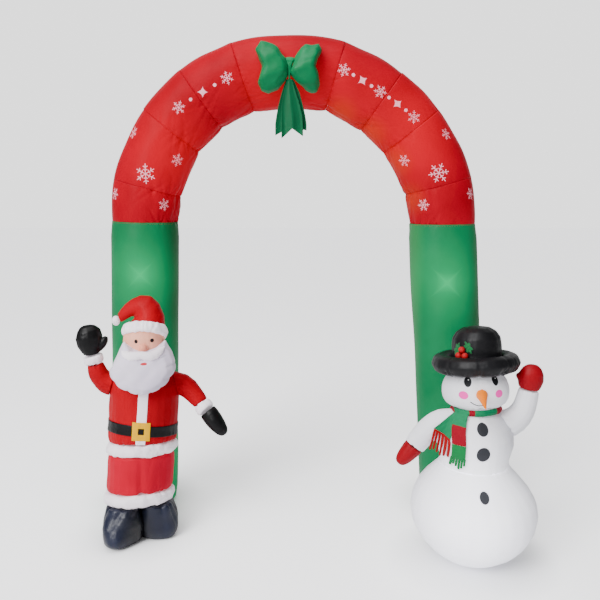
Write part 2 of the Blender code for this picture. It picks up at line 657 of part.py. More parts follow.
def build_man(root, leg):
    stand = empty("man_stand", root, MAN_PLACE, (0, 0, MAN_TURN))
    for side in BOOTS:
        seat(build_boot(side, stand), leg)
    trim_low = loft("man_trouser_trim", body_rings(TROUSER_TRIM, MAN_SIDES, man_axis), WHITE, stand)
    trousers = loft("man_trousers", body_rings(TROUSERS, MAN_SIDES, man_axis), RED, stand)
    trim_high = loft("man_jacket_trim", body_rings(JACKET_TRIM, MAN_SIDES, man_axis), WHITE, stand)
    jacket = loft("man_jacket", body_rings(JACKET, MAN_SIDES, man_axis), RED, stand)
    for piece in (trim_low, trousers, trim_high, jacket):
        seat(piece, leg)

    belt_rows = [jacket_section(z) for z in BELT_Z]
    inner = body_rings(belt_rows, MAN_SIDES, man_axis, grow=STRIP_LIFT, trim=False)
    outer = body_rings(belt_rows, MAN_SIDES, man_axis, grow=STRIP_LIFT + CLOTH, trim=False)
    belt = band("man_belt", inner, outer, BLACK, stand)
    seat(belt, leg)

    strip_high = jacket_patch("man_front_strip_upper", BELT_Z[1] + 0.0010, 0.745, 7.8, GAP, WHITE, stand)
    jacket_patch("man_front_strip_lower", 0.4650, BELT_Z[0] - 0.0010, 7.8, GAP, WHITE, stand)
    jacket_patch("man_buckle", 0.488, 0.581, 14.3, STRIP_LIFT + CLOTH + 0.0008, GOLD, stand,
                 columns=6, window=True)

    sleeves = {"raised": RAISED_SLEEVE, "lowered": LOWERED_SLEEVE}
    arms = {}
    for pose, path in sleeves.items():
        arms[pose] = tube(f"man_sleeve_{pose}", path, RED, stand)
        seat(arms[pose], jacket)
    start, end = Vector(RAISED_SLEEVE[-1][:3]), Vector((-0.2010, 0.006, 0.894))
    lifted = cuff("man_cuff_raised", start, end, (0.040, 0.046, 0.049, 0.049, 0.040), WHITE, stand)
    tip = Vector((-0.2190, 0.006, 1.034))
    rows = (Paddle(0.0, 0.0, 0.040, 0.036), Paddle(0.12, -0.01, 0.046, 0.040),
            Paddle(0.35, -0.02, 0.058, 0.046), Paddle(0.60, -0.01, 0.062, 0.046),
            Paddle(0.82, 0.02, 0.053, 0.038), Paddle(0.95, 0.01, 0.036, 0.024),
            Paddle(1.0, 0.0, 0.018, 0.010))
    thumb = (PathPoint(-0.180, 0.004, 0.915, 0.020), PathPoint(-0.158, 0.000, 0.938, 0.022),
             PathPoint(-0.141, -0.004, 0.962, 0.017), PathPoint(-0.134, -0.006, 0.978, 0.008))
    seat(mitten("man_mitten_raised", end, tip, rows, BLACK, stand, thumb), lifted)

    start, end = Vector(LOWERED_SLEEVE[-1][:3]), Vector((0.3220, -0.114, 0.6215))
    dropped = cuff("man_cuff_lowered", start, end, (0.039, 0.044, 0.046, 0.046, 0.040), WHITE, stand)
    tip = Vector((0.402, -0.163, 0.514))
    rows = (Paddle(0.0, 0.0, 0.042, 0.036), Paddle(0.15, 0.0, 0.044, 0.040),
            Paddle(0.40, 0.0, 0.042, 0.042), Paddle(0.65, 0.0, 0.037, 0.038),
            Paddle(0.86, 0.0, 0.029, 0.028), Paddle(0.96, 0.0, 0.019, 0.018),
            Paddle(1.0, 0.0, 0.009, 0.008))
    seat(mitten("man_mitten_lowered", end, tip, rows, BLACK, stand), dropped)
    seat(lifted, arms["raised"])
    seat(dropped, arms["lowered"])

    head = loft("man_head", body_rings(HEAD, 28, man_axis), SKIN, stand)
    brow = HEAD[-1]
    hat_band = hoop("man_hat_band", 0.093, 0.017, 0.029, WHITE, stand,
                    man_axis(brow.z) + Vector((0.005, 0, 0)), (-brow.tilt, -brow.roll, 0))
    seat(hat_band, head)
    hat = loft("man_hat", hat_rings(), RED, stand)
    seat(hat_band, hat)
    seat(hat, head)
    pompom = ball("man_pompom", (0.019, 0.019, 0.024), WHITE, stand, POMPOM_PLACE,
                  sides=(10, 8))
    seat(pompom, hat)

    beard = puffed("man_beard", BEARD, (0.038, 0.845), -0.118, 0.150, WHITE, stand, slope=0.46)
    seat(beard, head, jacket, hat_band, arms["raised"], arms["lowered"])
    whiskers = tube("man_moustache", MOUSTACHE, WHITE, stand, side_steps=4)
    seat(whiskers, head, beard)
    nose = ball("man_nose", (NOSE_RADIUS,) * 3, SKIN, stand, NOSE_PLACE)
    seat(nose, head, beard, whiskers)
    seat(strip_high, beard)


# ---------------------------------------------------------------- snowman
# height, radius and how far the ball leans towards the walkway's far side
BALL = ((0.000, 0.062, 0.002), (0.007, 0.092, 0.002), (0.030, 0.142, 0.002), (0.068, 0.196, 0.002),
        (0.120, 0.241, 0.002), (0.180, 0.270, 0.002), (0.240, 0.280, 0.002), (0.300, 0.270, 0.001),
        (0.352, 0.244, -0.003), (0.396, 0.209, -0.005), (0.432, 0.175, -0.004),
        (0.460, 0.151, 0.000))
BALL_TOP = BALL[-1][0]
TORSO = (Section(BALL_TOP, 0.151, 0, 0), Section(0.482, 0.1495, 0, 0), Section(0.515, 0.157, 0, 0),
         Section(0.555, 0.168, 0, 0), Section(0.595, 0.168, 0, 0), Section(0.635, 0.153, 0, 0),
         Section(0.668, 0.126, 1, 0), Section(0.690, 0.100, 3, 2), Section(NECK_Z, 0.074, 5, 3))
# z above the neck and radius
SNOW_HEAD = ((GAP, 0.080), (0.006, 0.102), (0.022, 0.127), (0.046, 0.141), (0.072, 0.145),
             (0.098, 0.143), (0.124, 0.134), (0.151, 0.117), (0.171, 0.098))
HAT_Z = 0.171
CROWN = ((HAT_Z + GAP, 0.098), (0.182, 0.1060), (0.221, 0.1070), (0.268, 0.1045),
         (0.308, 0.0965), (0.336, 0.0800), (0.352, 0.0560), (0.358, 0.0240))
LEAF_LEAN = -6.0             # the leaves lie back on the crown
LEAF_LIFT = 0.0012
CROWN_SHIFT = 0.015          # the crown sits a little off the head's centre
BRIM_Z = 0.196
SNOW_LEFT_ARM = (PathPoint(-0.095, -0.015, 0.650, 0.054), PathPoint(-0.150, -0.015, 0.648, 0.055),
                 PathPoint(-0.190, -0.018, 0.625, 0.054), PathPoint(-0.229, -0.020, 0.587, 0.051),
                 PathPoint(-0.267, -0.022, 0.535, 0.048))
SNOW_RIGHT_ARM = (PathPoint(0.095, 0.0, 0.634, 0.064), PathPoint(0.148, 0.0, 0.644, 0.063),
                  PathPoint(0.188, 0.0, 0.677, 0.057), PathPoint(0.212, 0.0, 0.727, 0.050),
                  PathPoint(0.225, 0.0, 0.797, 0.046))


def snow_axis(z):
    return Vector((0.006 - 0.014 * z, 0, z))


def build_snow_ball(root, leg):
    """The lower ball, flat where it stands, with the neck that ties it to the leg."""
    rings = []
    for z, radius, shift in BALL:
        top = GAP / 2 if z == BALL_TOP else 0.0
        rings.append(ring(snow_axis(z) + Vector((shift, 0, -top)), Matrix.Identity(3),
                          radius, radius, SNOW_SIDES))
    made = loft("snow_ball", rings, WHITE, root)
    neck = (PathPoint(0.010, 0.190, 0.270, 0.120), PathPoint(0.018, 0.280, 0.270, 0.105),
            PathPoint(0.030, 0.350, 0.270, 0.098), PathPoint(0.040, 0.470, 0.270, 0.100))
    join(made, tube("snow_ball_neck", neck, WHITE, root, pieces=2, side_steps=4))
    seat(made, leg)
    return made


def spiked_leaf(name, half_long, half_wide, parent, place, turn):
    """A flat holly leaf, its edge drawn in between six points."""
    shape = bmesh.new()
    rim = []
    for k in range(12):
        angle = TAU * k / 12
        share = 1.0 if k % 2 == 0 else 0.62
        rim.append(shape.verts.new((half_wide * share * math.sin(angle), 0,
                                    half_long * share * math.cos(angle))))
    shape.faces.new(rim)
    mesh = bpy.data.meshes.new(name)
    shape.to_mesh(mesh)
    shape.free()
    made = add_object(name, mesh, GREEN, parent)
    made.location = place
    made.rotation_euler = [math.radians(a) for a in turn]
    wall = made.modifiers.new("thickness", "SOLIDIFY")
    wall.thickness = 0.0015
    wall.offset = 0.0
    return made


def on_crown(angle, z, stand_off):
    """A point off the hat's crown; the angle runs from the front towards the raised arm."""
    for (low, wide), (high, narrow) in zip(CROWN, CROWN[1:]):
        if low <= z <= high:
            radius = wide + (narrow - wide) * (z - low) / (high - low) + stand_off
    a = math.radians(angle)
    return Vector((CROWN_SHIFT + radius * math.sin(a), -radius * math.cos(a), z))


def build_snow_head(root):
    pivot = empty("snow_head_turn", root, snow_axis(NECK_Z), (HEAD_LEAN[0], HEAD_LEAN[1], 0))
    level = Matrix.Identity(3)
    head = loft("snow_head", [ring(Vector((HEAD_SHIFT, 0, z)), level, r, r, SNOW_SIDES)
                              for z, r in SNOW_HEAD], WHITE, pivot)
    crown = loft("snow_hat_crown", [ring(Vector((CROWN_SHIFT, 0, z)), level, r, r, 28)
                                    for z, r in CROWN], BLACK, pivot)
    brim = hoop("snow_hat_brim", 0.1495, 0.0435, 0.0435, BLACK, pivot, (0.007, 0, BRIM_Z),
                sides=(30, 8))
    seat(crown, head)
    seat(brim, crown, head)
    nose_length, nose_radius = 0.160, 0.0255
    bpy.ops.mesh.primitive_cone_add(vertices=16, radius1=nose_radius, radius2=0.003,
                                    depth=nose_length, location=(0, 0, 0))
    nose = adopt(bpy.context.object, ORANGE, pivot, (-0.003, -0.222, 0.070), (99.5, 0, -5))
    nose.name = nose.data.name = "snow_nose"
    nose.data.set_sharp_from_angle(angle=math.radians(50))
    seat(nose, head)

    berry = 0.0145
    leaf_turns = {"left": (-58, 0.268, 25), "right": (-29, 0.276, -30)}
    for side, (angle, z, roll) in leaf_turns.items():
        spiked_leaf(f"snow_leaf_{side}", 0.030, 0.017, pivot, on_crown(angle, z, LEAF_LIFT),
                    (LEAF_LEAN, roll, angle))
    for number, (angle, z) in enumerate(((-42, 0.266), (-50, 0.241), (-35, 0.2405)), 1):
        seat(ball(f"snow_berry_{number}", (berry,) * 3, RED, pivot,
                  on_crown(angle, z, berry - 0.0005), sides=(10, 6)), crown, brim)
    return head


COLLAR_Z = 0.707
# height and radius of the surface that the scarf's tails lie on, from the collar down
DRAPE = ((0.745, 0.116), (0.705, 0.1165), (0.682, 0.132), (0.655, 0.148), (0.625, 0.162),
         (0.590, 0.1715), (0.555, 0.1715), (0.515, 0.161), (0.482, 0.156), (0.460, 0.158),
         (0.440, 0.172))


def drape_front(x, z, clear):
    """How far forwards the chest reaches at a place, with a clearance in front of it."""
    for high, low in zip(DRAPE, DRAPE[1:]):
        if low[0] <= z <= high[0]:
            share = (high[0] - z) / (high[0] - low[0])
            radius = high[1] + (low[1] - high[1]) * share
    across = min(abs(x), radius * 0.90)
    return -math.sqrt(radius ** 2 - across ** 2) - clear


# the two edges of a scarf tail, from the knot down
Edge = namedtuple("Edge", "left_x left_z right_x right_z")
SCARF_TAILS = {
    "left": (Edge(-0.088, 0.714, -0.046, 0.718), Edge(-0.112, 0.698, -0.056, 0.697),
             Edge(-0.130, 0.684, -0.072, 0.672), Edge(-0.158, 0.661, -0.112, 0.645),
             Edge(-0.190, 0.636, -0.126, 0.602)),
    "right": (Edge(-0.090, 0.703, -0.050, 0.708), Edge(-0.112, 0.674, -0.062, 0.676),
              Edge(-0.119, 0.646, -0.066, 0.646), Edge(-0.120, 0.618, -0.066, 0.618),
              Edge(-0.120, 0.590, -0.066, 0.590)),
}
TAIL_CLEAR = {"left": 0.0080, "right": 0.0024}
TUCK = -0.0095               # a tail's top edge runs this far into the collar


def on_torso(x, z, clear):
    return Vector((x, drape_front(x, z, clear), z))


def scarf_tail(side, material, root, collar):
    rows = []
    for number, edge in enumerate(SCARF_TAILS[side]):
        left, right = Vector((edge.left_x, edge.left_z)), Vector((edge.right_x, edge.right_z))
        clear = TAIL_CLEAR[side] if number else TUCK
        rows.append([on_torso(*left.lerp(right, k / 6), clear) for k in range(7)])
    seat(sheet(f"snow_scarf_tail_{side}", rows, material, root), collar)


def fringe(side, length, spread, material, root, strands=8):
    """Strands that hang from a narrow strip sewn under the scarf tail's end."""
    edge = SCARF_TAILS[side][-1]
    left, right = Vector((edge.left_x, edge.left_z)), Vector((edge.right_x, edge.right_z))
    clear = TAIL_CLEAR[side]
    cells = strands * 2 - 1
    strip_top, strip_low = 0.0007, 0.008
    shape = bmesh.new()

    def corners(share, drop, sway=0.0):
        """The four points, back and front, of one cross-section at a share of the width."""
        at = left.lerp(right, share) + Vector((sway, -drop))
        surface = on_torso(at.x, at.y, clear)
        return surface + Vector((0, CLOTH / 2, 0)), surface - Vector((0, CLOTH / 2, 0))

    columns = []
    for k in range(cells + 1):
        back_top, front_top = corners(k / cells, strip_top)
        back_low, front_low = corners(k / cells, strip_low)
        columns.append([shape.verts.new(p) for p in (back_top, front_top, front_low, back_low)])
    for a, b in zip(columns, columns[1:]):
        for k in (0, 1, 3):
            n = (k + 1) % 4
            shape.faces.new((a[k], a[n], b[n], b[k]))
    shape.faces.new(columns[0])
    shape.faces.new(columns[-1])
    for cell, (a, b) in enumerate(zip(columns, columns[1:])):
        loop = [a[3], a[2], b[2], b[3]]
        if cell % 2 == 0:
            sway = spread * (cell / (cells - 1) - 1.2)
            for step in (0.5, 1.0):
                drop = strip_low + length * step * (1.0 + 0.10 * math.sin(cell * 2.4))
                back_a, front_a = corners(cell / cells, drop, sway * step)
                back_b, front_b = corners((cell + 1) / cells, drop, sway * step)
                lower = [shape.verts.new(p) for p in (back_a, front_a, front_b, back_b)]
                for k in range(4):
                    n = (k + 1) % 4
                    shape.faces.new((loop[k], loop[n], lower[n], lower[k]))
                loop = lower
        shape.faces.new(loop)
    name = f"snow_fringe_{side}"
    return add_object(name, finish_mesh(name, shape, 30), material, root)


def build_snowman(root, leg):
    stand = empty("snow_stand", root, SNOW_PLACE, (0, 0, SNOW_TURN))
    build_snow_ball(stand, leg)
    torso = loft("snow_torso", body_rings(TORSO, SNOW_SIDES, snow_axis), WHITE, stand)
    head = build_snow_head(stand)
    arms = {}
    for pose, path in (("lowered", SNOW_LEFT_ARM), ("raised", SNOW_RIGHT_ARM)):
        arms[pose] = tube(f"snow_arm_{pose}", path, WHITE, stand)
        seat(arms[pose], torso)

    start, tip = Vector(SNOW_LEFT_ARM[-1][:3]), Vector((-0.337, -0.030, 0.455))
    rows = (Paddle(0.0, 0.0, 0.044, 0.043), Paddle(0.2, 0.0, 0.043, 0.041),
            Paddle(0.5, 0.0, 0.038, 0.037), Paddle(0.75, 0.0, 0.032, 0.030),
            Paddle(0.92, 0.0, 0.023, 0.021), Paddle(1.0, 0.0, 0.010, 0.009))
    seat(mitten("snow_mitten_lowered", start, tip, rows, RED, stand), arms["lowered"])
    start, tip = Vector(SNOW_RIGHT_ARM[-1][:3]), Vector((0.234, -0.004, 0.910))
    rows = (Paddle(0.0, 0.0, 0.043, 0.041), Paddle(0.14, 0.0, 0.050, 0.043),
            Paddle(0.40, 0.0, 0.056, 0.044), Paddle(0.65, 0.0, 0.052, 0.040),
            Paddle(0.86, 0.0, 0.039, 0.030), Paddle(0.97, 0.0, 0.024, 0.018),
            Paddle(1.0, 0.0, 0.012, 0.009))
    thumb = (PathPoint(0.220, 0.0, 0.820, 0.018), PathPoint(0.194, 0.0, 0.842, 0.019),
             PathPoint(0.176, 0.0, 0.862, 0.013), PathPoint(0.171, 0.0, 0.868, 0.006))
    seat(mitten("snow_mitten_raised", start, tip, rows, RED, stand, thumb), arms["raised"])

    collar = hoop("snow_scarf_neck", 0.097, 0.017, 0.017, GREEN, stand,
                  snow_axis(COLLAR_Z) + Vector((0.004, 0, 0)), (HEAD_LEAN[0], HEAD_LEAN[1], 0),
                  sides=(22, 6))
    seat(collar, head, torso, *arms.values())
    scarf_tail("left", GREEN, stand, collar)
    fringe("left", 0.088, 0.016, PINK_RED, stand)
    scarf_tail("right", PINK_RED, stand, collar)
    fringe("right", 0.096, 0.004, GREEN, stand)


# ---------------------------------------------------------------- whole part
def build():
    root = empty("arch_origin", None, ORIGIN)
    legs = {side: build_leg(side, root) for side in LEG_FOOT_X}
    panels = build_arch(root)
    build_bow(root, panels[4])
    build_man(root, legs["left"])
    build_snowman(root, legs["right"])


clear_scene()
PARTS = new_collection("inflatable_arch")
CUTTERS = new_collection("cutters")
build()
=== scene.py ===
import json
import math
import bmesh
import bpy
import numpy as np
from mathutils import Matrix, Vector
from mathutils.bvhtree import BVHTree

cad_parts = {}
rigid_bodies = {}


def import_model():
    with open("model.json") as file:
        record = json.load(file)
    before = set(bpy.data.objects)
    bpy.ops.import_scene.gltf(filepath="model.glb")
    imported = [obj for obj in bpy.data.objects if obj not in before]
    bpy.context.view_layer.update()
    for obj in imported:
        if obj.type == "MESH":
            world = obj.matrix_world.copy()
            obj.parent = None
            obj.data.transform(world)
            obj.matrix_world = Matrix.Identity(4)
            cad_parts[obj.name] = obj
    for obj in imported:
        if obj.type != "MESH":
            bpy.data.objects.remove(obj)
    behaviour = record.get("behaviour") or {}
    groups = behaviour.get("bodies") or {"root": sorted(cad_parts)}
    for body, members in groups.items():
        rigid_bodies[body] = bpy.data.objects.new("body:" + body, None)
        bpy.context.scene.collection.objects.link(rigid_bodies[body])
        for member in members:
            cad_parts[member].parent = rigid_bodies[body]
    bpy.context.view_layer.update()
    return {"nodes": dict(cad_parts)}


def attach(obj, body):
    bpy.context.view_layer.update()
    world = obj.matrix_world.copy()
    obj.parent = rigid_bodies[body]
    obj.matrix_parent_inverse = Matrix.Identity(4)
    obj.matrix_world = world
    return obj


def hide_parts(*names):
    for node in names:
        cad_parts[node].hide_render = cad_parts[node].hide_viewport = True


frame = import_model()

tau = 2 * math.pi
origin = np.array((-0.0405, 0.3597, 0.0))   # the arch's own centre, where its plane stands


# small tools for nodes and colours
def linear(code, alpha=1.0):   # an sRGB hex value as the linear colour that shaders use
    parts = [int(code[k:k + 2], 16) / 255 for k in (1, 3, 5)]
    return [c / 12.92 if c <= 0.04045 else ((c + 0.055) / 1.055) ** 2.4 for c in parts] + [alpha]


def addNode(tree, kind, links=None, inputs=None, **settings):
    made = tree.nodes.new(kind)
    for key, value in settings.items():
        setattr(made, key, value)
    for key, value in (inputs or {}).items():
        made.inputs[key].default_value = value
    for key, source in (links or {}).items():
        tree.links.new(source, made.inputs[key])
    return made


def formula(tree, known, rows):   # a worked formula, one line a row: result, operation, terms
    for result, operation, *terms in rows:
        linked = {k: known[term] for k, term in enumerate(terms) if isinstance(term, str)}
        fixed = {k: term for k, term in enumerate(terms) if not isinstance(term, str)}
        known[result] = addNode(tree, "ShaderNodeMath", linked, fixed, operation=operation).outputs[0]
    return known


# materials
clothLook = {
    "weavePitch": 0.0030,     # a taffeta thread is 0.2 mm; drawn 3 mm apart so that it shows
    "weaveDepth": 0.05,
    "crumple": 42.0,          # fine crumples of a skin that was folded in its box, about 24 mm across
    "crumpleDepth": 0.30,
    "drift": 3.2,             # slow change of tone over about 0.3 m
    "shine": 0.12,            # the dull side of the coating faces out
    "glowSoft": 0.95,         # a lamp's spot fades over nearly all of its size
}


def startMaterial(name):
    made = bpy.data.materials.new(name)
    made.use_nodes = True
    tree = made.node_tree
    shader = tree.nodes["Principled BSDF"]
    spot = addNode(tree, "ShaderNodeTexCoord").outputs["Object"]
    return made, tree, shader, spot


def ellipseMask(tree, spot, centre, half, soft=0.08):   # 1 inside an ellipsoid about a point
    away = addNode(tree, "ShaderNodeVectorMath", {0: spot}, {1: centre}, operation="SUBTRACT")
    scaled = addNode(tree, "ShaderNodeVectorMath", {0: away.outputs[0]}, {1: half}, operation="DIVIDE")
    size = addNode(tree, "ShaderNodeVectorMath", {0: scaled.outputs[0]}, operation="LENGTH")
    return addNode(tree, "ShaderNodeMapRange", {"Value": size.outputs["Value"]},
                   {"From Min": 1.0 - soft, "From Max": 1.0 + soft, "To Min": 1.0, "To Max": 0.0},
                   interpolation_type="SMOOTHSTEP").outputs[0]


def layColour(tree, base, colour, mask):   # one colour laid over another where the mask is 1
    mixed = addNode(tree, "ShaderNodeMix", {"Factor": mask}, data_type="RGBA")
    for socket, value in ((mixed.inputs[6], base), (mixed.inputs[7], colour)):
        if isinstance(value, (list, tuple)):
            socket.default_value = value
        else:
            tree.links.new(value, socket)
    return mixed.outputs[2]


def arcMask(tree, spot, arc):   # a thin printed line: the lower part of a circle seen from the front
    x, y, z = addNode(tree, "ShaderNodeSeparateXYZ", {0: spot}).outputs
    return formula(tree, {"x": x, "y": y, "z": z}, (
        ("u", "SUBTRACT", "x", arc["at"][0]), ("w", "SUBTRACT", "z", arc["at"][1]),
        ("uu", "MULTIPLY", "u", "u"), ("rr", "MULTIPLY_ADD", "w", "w", "uu"), ("r", "SQRT", "rr"),
        ("far", "SUBTRACT", "r", arc["radius"]), ("gap", "ABSOLUTE", "far"),
        ("line", "LESS_THAN", "gap", arc["half"]), ("low", "LESS_THAN", "z", arc["below"]),
        ("front", "LESS_THAN", "y", arc["front"]), ("side", "LESS_THAN", "x", arc["until"]),
        ("a", "MULTIPLY", "line", "low"), ("b", "MULTIPLY", "a", "side"),
        ("all", "MULTIPLY", "b", "front")))["all"]


def starMask(tree, spot, centre, size):   # the crossed beams that a small lamp throws through the cloth
    x, y, z = addNode(tree, "ShaderNodeSeparateXYZ", {0: spot}).outputs
    return formula(tree, {"x": x, "y": y, "z": z}, (
        ("u", "SUBTRACT", "x", centre[0]), ("w", "SUBTRACT", "z", centre[2]),
        ("plus", "ADD", "u", "w"), ("minus", "SUBTRACT", "u", "w"),
        ("a", "ABSOLUTE", "plus"), ("b", "ABSOLUTE", "minus"),
        ("pa", "POWER", "a", 0.5), ("pb", "POWER", "b", 0.5), ("sum", "ADD", "pa", "pb"),
        ("share", "DIVIDE", "sum", size ** 0.5), ("left", "SUBTRACT", 1.0, "share"),
        ("mask", "MAXIMUM", "left", 0.0), ("front", "LESS_THAN", "y", centre[1]),
        ("all", "MULTIPLY", "mask", "front")))["all"]


def addLight(tree, light, mask, strength):   # one lamp's light added to what is there
    known = formula(tree, {"mask": mask, "light": light}, (("part", "MULTIPLY", "mask", strength),))
    if light is None:
        return known["part"]
    return formula(tree, known, (("sum", "ADD", "light", "part"),))["sum"]


# a cloth whose tone drifts from one colour to another, with marks laid on (print, painted shade and painted light)
# and soft spots of painted light as from lamps inside
# marks: place, half size, colour and softness; glows: place, half size and strength; star: place, size, strength
def clothMaterial(name, colour, shade, rough, marks=(), glows=(), glowColour="#ffffff", glow=0.0, star=(),
                  prints=None, mouth=None, crumple=1.0, sheen=0.0, shine=clothLook["shine"]):
    made, tree, shader, spot = startMaterial(name)
    drift = addNode(tree, "ShaderNodeTexNoise", {"Vector": spot},
                    {"Scale": clothLook["drift"], "Detail": 3.0, "Roughness": 0.55})
    driftMask = addNode(tree, "ShaderNodeMapRange", {"Value": drift.outputs["Fac"]},
                        {"From Min": 0.35, "From Max": 0.68})
    tone = layColour(tree, linear(colour), linear(shade), driftMask.outputs[0])
    for at, half, code, *soft in marks:
        tone = layColour(tree, tone, linear(code), ellipseMask(tree, spot, at, half, *soft))
    if prints:
        tone = layColour(tree, tone, linear(prints), printMask(tree))
    if mouth:
        tone = layColour(tree, tone, linear(mouth["colour"]), arcMask(tree, spot, mouth))
    tree.links.new(tone, shader.inputs["Base Color"])
    if glow:   # painted light: the cloth glows evenly in its own colour
        tree.links.new(tone, shader.inputs["Emission Color"])
        shader.inputs["Emission Strength"].default_value = glow
    # painted light: soft spots and a lamp's crossed beams glow in the glow colour, as lamps inside would light them
    if glows:
        light = None
        for at, half, strength in glows:
            light = addLight(tree, light, ellipseMask(tree, spot, at, half, clothLook["glowSoft"]), strength)
        for centre, size, strength in star:
            light = addLight(tree, light, starMask(tree, spot, centre, size), strength)
        dark, bright = (tone, linear(glowColour)) if glowColour else (linear("#000000"), tone)
        tree.links.new(layColour(tree, dark, bright, light), shader.inputs["Emission Color"])
    rumple = addNode(tree, "ShaderNodeTexNoise", {"Vector": spot},
                     {"Scale": clothLook["crumple"], "Detail": 5.0, "Roughness": 0.62, "Distortion": 0.4})
    bump = addNode(tree, "ShaderNodeBump", {"Height": rumple.outputs["Fac"]},
                   {"Strength": clothLook["crumpleDepth"] * crumple, "Distance": 0.004})
    threads = addNode(tree, "ShaderNodeTexVoronoi", {"Vector": spot},
                      {"Scale": 1.0 / clothLook["weavePitch"]}, distance="CHEBYCHEV")
    fine = addNode(tree, "ShaderNodeBump", {"Height": threads.outputs["Distance"], "Normal": bump.outputs[0]},
                   {"Strength": clothLook["weaveDepth"], "Distance": 0.0006})
    tree.links.new(fine.outputs[0], shader.inputs["Normal"])
    worn = addNode(tree, "ShaderNodeMapRange", {"Value": rumple.outputs["Fac"]},
                   {"To Min": rough - 0.06, "To Max": rough + 0.08})
    tree.links.new(worn.outputs[0], shader.inputs["Roughness"])
    for socket, value in (("IOR", 1.46), ("Specular IOR Level", shine), ("Sheen Weight", sheen),
                          ("Sheen Roughness", 0.4)):
        shader.inputs[socket].default_value = value
    return made


motifLook = {"line": 0.043, "barbs": ((0.36, 0.20), (0.66, 0.25)), "starPower": 0.62, "dot": 0.55, "region": 1.25}


def printMask(tree):   # snowflakes, four-pointed stars and dots, on the piece's own print coordinates
    place = addNode(tree, "ShaderNodeUVMap", uv_map="prints").outputs[0]
    parts = addNode(tree, "ShaderNodeSeparateXYZ", {0: place}).outputs
    kind = addNode(tree, "ShaderNodeAttribute", attribute_name="motif").outputs["Fac"]
    sixth = math.pi / 3
    known = formula(tree, {"x": parts[0], "y": parts[1], "kind": kind}, (
        ("xx", "MULTIPLY", "x", "x"), ("rr", "MULTIPLY_ADD", "y", "y", "xx"), ("r", "SQRT", "rr"),
        ("turn", "ARCTAN2", "y", "x"), ("shifted", "ADD", "turn", sixth / 2),
        ("folded", "FLOORED_MODULO", "shifted", sixth), ("near", "SUBTRACT", "folded", sixth / 2),
        ("side", "ABSOLUTE", "near"), ("cos", "COSINE", "side"), ("sin", "SINE", "side"),
        ("px", "MULTIPLY", "r", "cos"), ("py", "MULTIPLY", "r", "sin"),
        ("past", "SUBTRACT", "px", 1.0), ("nearest", "MAXIMUM", "py", "past"),
    ))
    for start, length in motifLook["barbs"]:   # each arm carries pairs of barbs at 60 degrees
        known = formula(tree, known, (
            ("qx", "SUBTRACT", "px", start), ("qy", "MULTIPLY", "py", 0.866),
            ("run", "MULTIPLY_ADD", "qx", 0.5, "qy"), ("low", "MAXIMUM", "run", 0.0),
            ("reach", "MINIMUM", "low", length), ("ex", "MULTIPLY_ADD", "reach", -0.5, "qx"),
            ("ey", "MULTIPLY_ADD", "reach", -0.866, "py"), ("exx", "MULTIPLY", "ex", "ex"),
            ("ee", "MULTIPLY_ADD", "ey", "ey", "exx"), ("gap", "SQRT", "ee"),
            ("nearest", "MINIMUM", "nearest", "gap"),
        ))
    power = motifLook["starPower"]
    known = formula(tree, known, (
        ("flake", "LESS_THAN", "nearest", motifLook["line"]),
        ("ax", "ABSOLUTE", "x"), ("ay", "ABSOLUTE", "y"),
        ("sx", "POWER", "ax", power), ("sy", "POWER", "ay", power), ("sum", "ADD", "sx", "sy"),
        ("star", "LESS_THAN", "sum", 1.0), ("dot", "LESS_THAN", "r", motifLook["dot"]),
        ("isFlake", "LESS_THAN", "kind", 0.5), ("isDot", "GREATER_THAN", "kind", 1.5),
        ("a", "MULTIPLY", "flake", "isFlake"), ("b", "MULTIPLY_ADD", "dot", "isDot", "a"),
        ("other", "ADD", "isFlake", "isDot"), ("isStar", "SUBTRACT", 1.0, "other"),
        ("all", "MULTIPLY_ADD", "star", "isStar", "b"),
    ))
    return known["all"]


# shaping tools
def waves(points, seed, size, count=7):   # smooth seeded noise about one metre wave size
    rng = np.random.default_rng(seed)
    total = np.zeros(len(points))
    for _ in range(count):
        way = rng.normal(size=3)
        way *= tau / (size * rng.uniform(0.7, 1.4)) / np.linalg.norm(way)
        total += np.sin(points @ way + rng.uniform(0, tau))
    return total / math.sqrt(count)


def basis(up):
    up = np.array(up, float) / np.linalg.norm(up)
    side = np.cross(up, (0.31, 0.77, 0.55))
    side /= np.linalg.norm(side)
    return up, side, np.cross(up, side)


def puckers(points, seam):   # sharp creases that run away from a sewn seam, and the seam's own pinch
    rng = np.random.default_rng(seam["seed"])
    up, side, front = basis(seam["up"])
    away = points - np.array(seam["at"])
    along = away @ up
    flat = away - np.outer(along, up)
    around = np.arctan2(flat @ front, flat @ side)
    radius = np.linalg.norm(flat, axis=1)
    far = radius if seam["fan"] else np.abs(along)
    total = -seam["pinch"] * np.exp(-far / seam["pinchReach"])
    near = far < 4 * seam["reach"]
    for _ in range(seam["count"]):
        at = rng.uniform(0, tau)
        width = seam["width"] * rng.uniform(0.6, 1.5)
        reach = seam["reach"] * rng.uniform(0.35, 1.5)
        depth = seam["depth"] * rng.uniform(0.35, 1.3)
        lean = rng.normal() * seam["lean"]
        if "heavy" in seam:
            facing = math.cos(at) * (side @ seam["heavy"]) + math.sin(at) * (front @ seam["heavy"])
            depth *= 0.15 + 0.85 * max(0.0, facing + 0.15)
        gap = (around[near] - at - lean * along[near] + math.pi) % tau - math.pi
        total[near] -= depth * np.exp(-(gap * radius[near] / width) ** 2) * np.exp(-far[near] / reach)
    return total * np.clip(radius / 0.05, 0, 1) ** 2 if seam["fan"] else total   # a fan's middle is smooth


# a seam round a tube at a spot and square to up: how many creases leave it, their width, reach and depth
def ringSeam(at, up, seed, count, width, reach, depth, pinch=0.0020, pinchReach=0.018, lean=1.2, fan=False, **more):
    return {"at": at, "up": up, "seed": seed, "count": count, "width": width, "reach": reach, "depth": depth,
            "pinch": pinch, "pinchReach": pinchReach, "lean": lean, "fan": fan, **more}


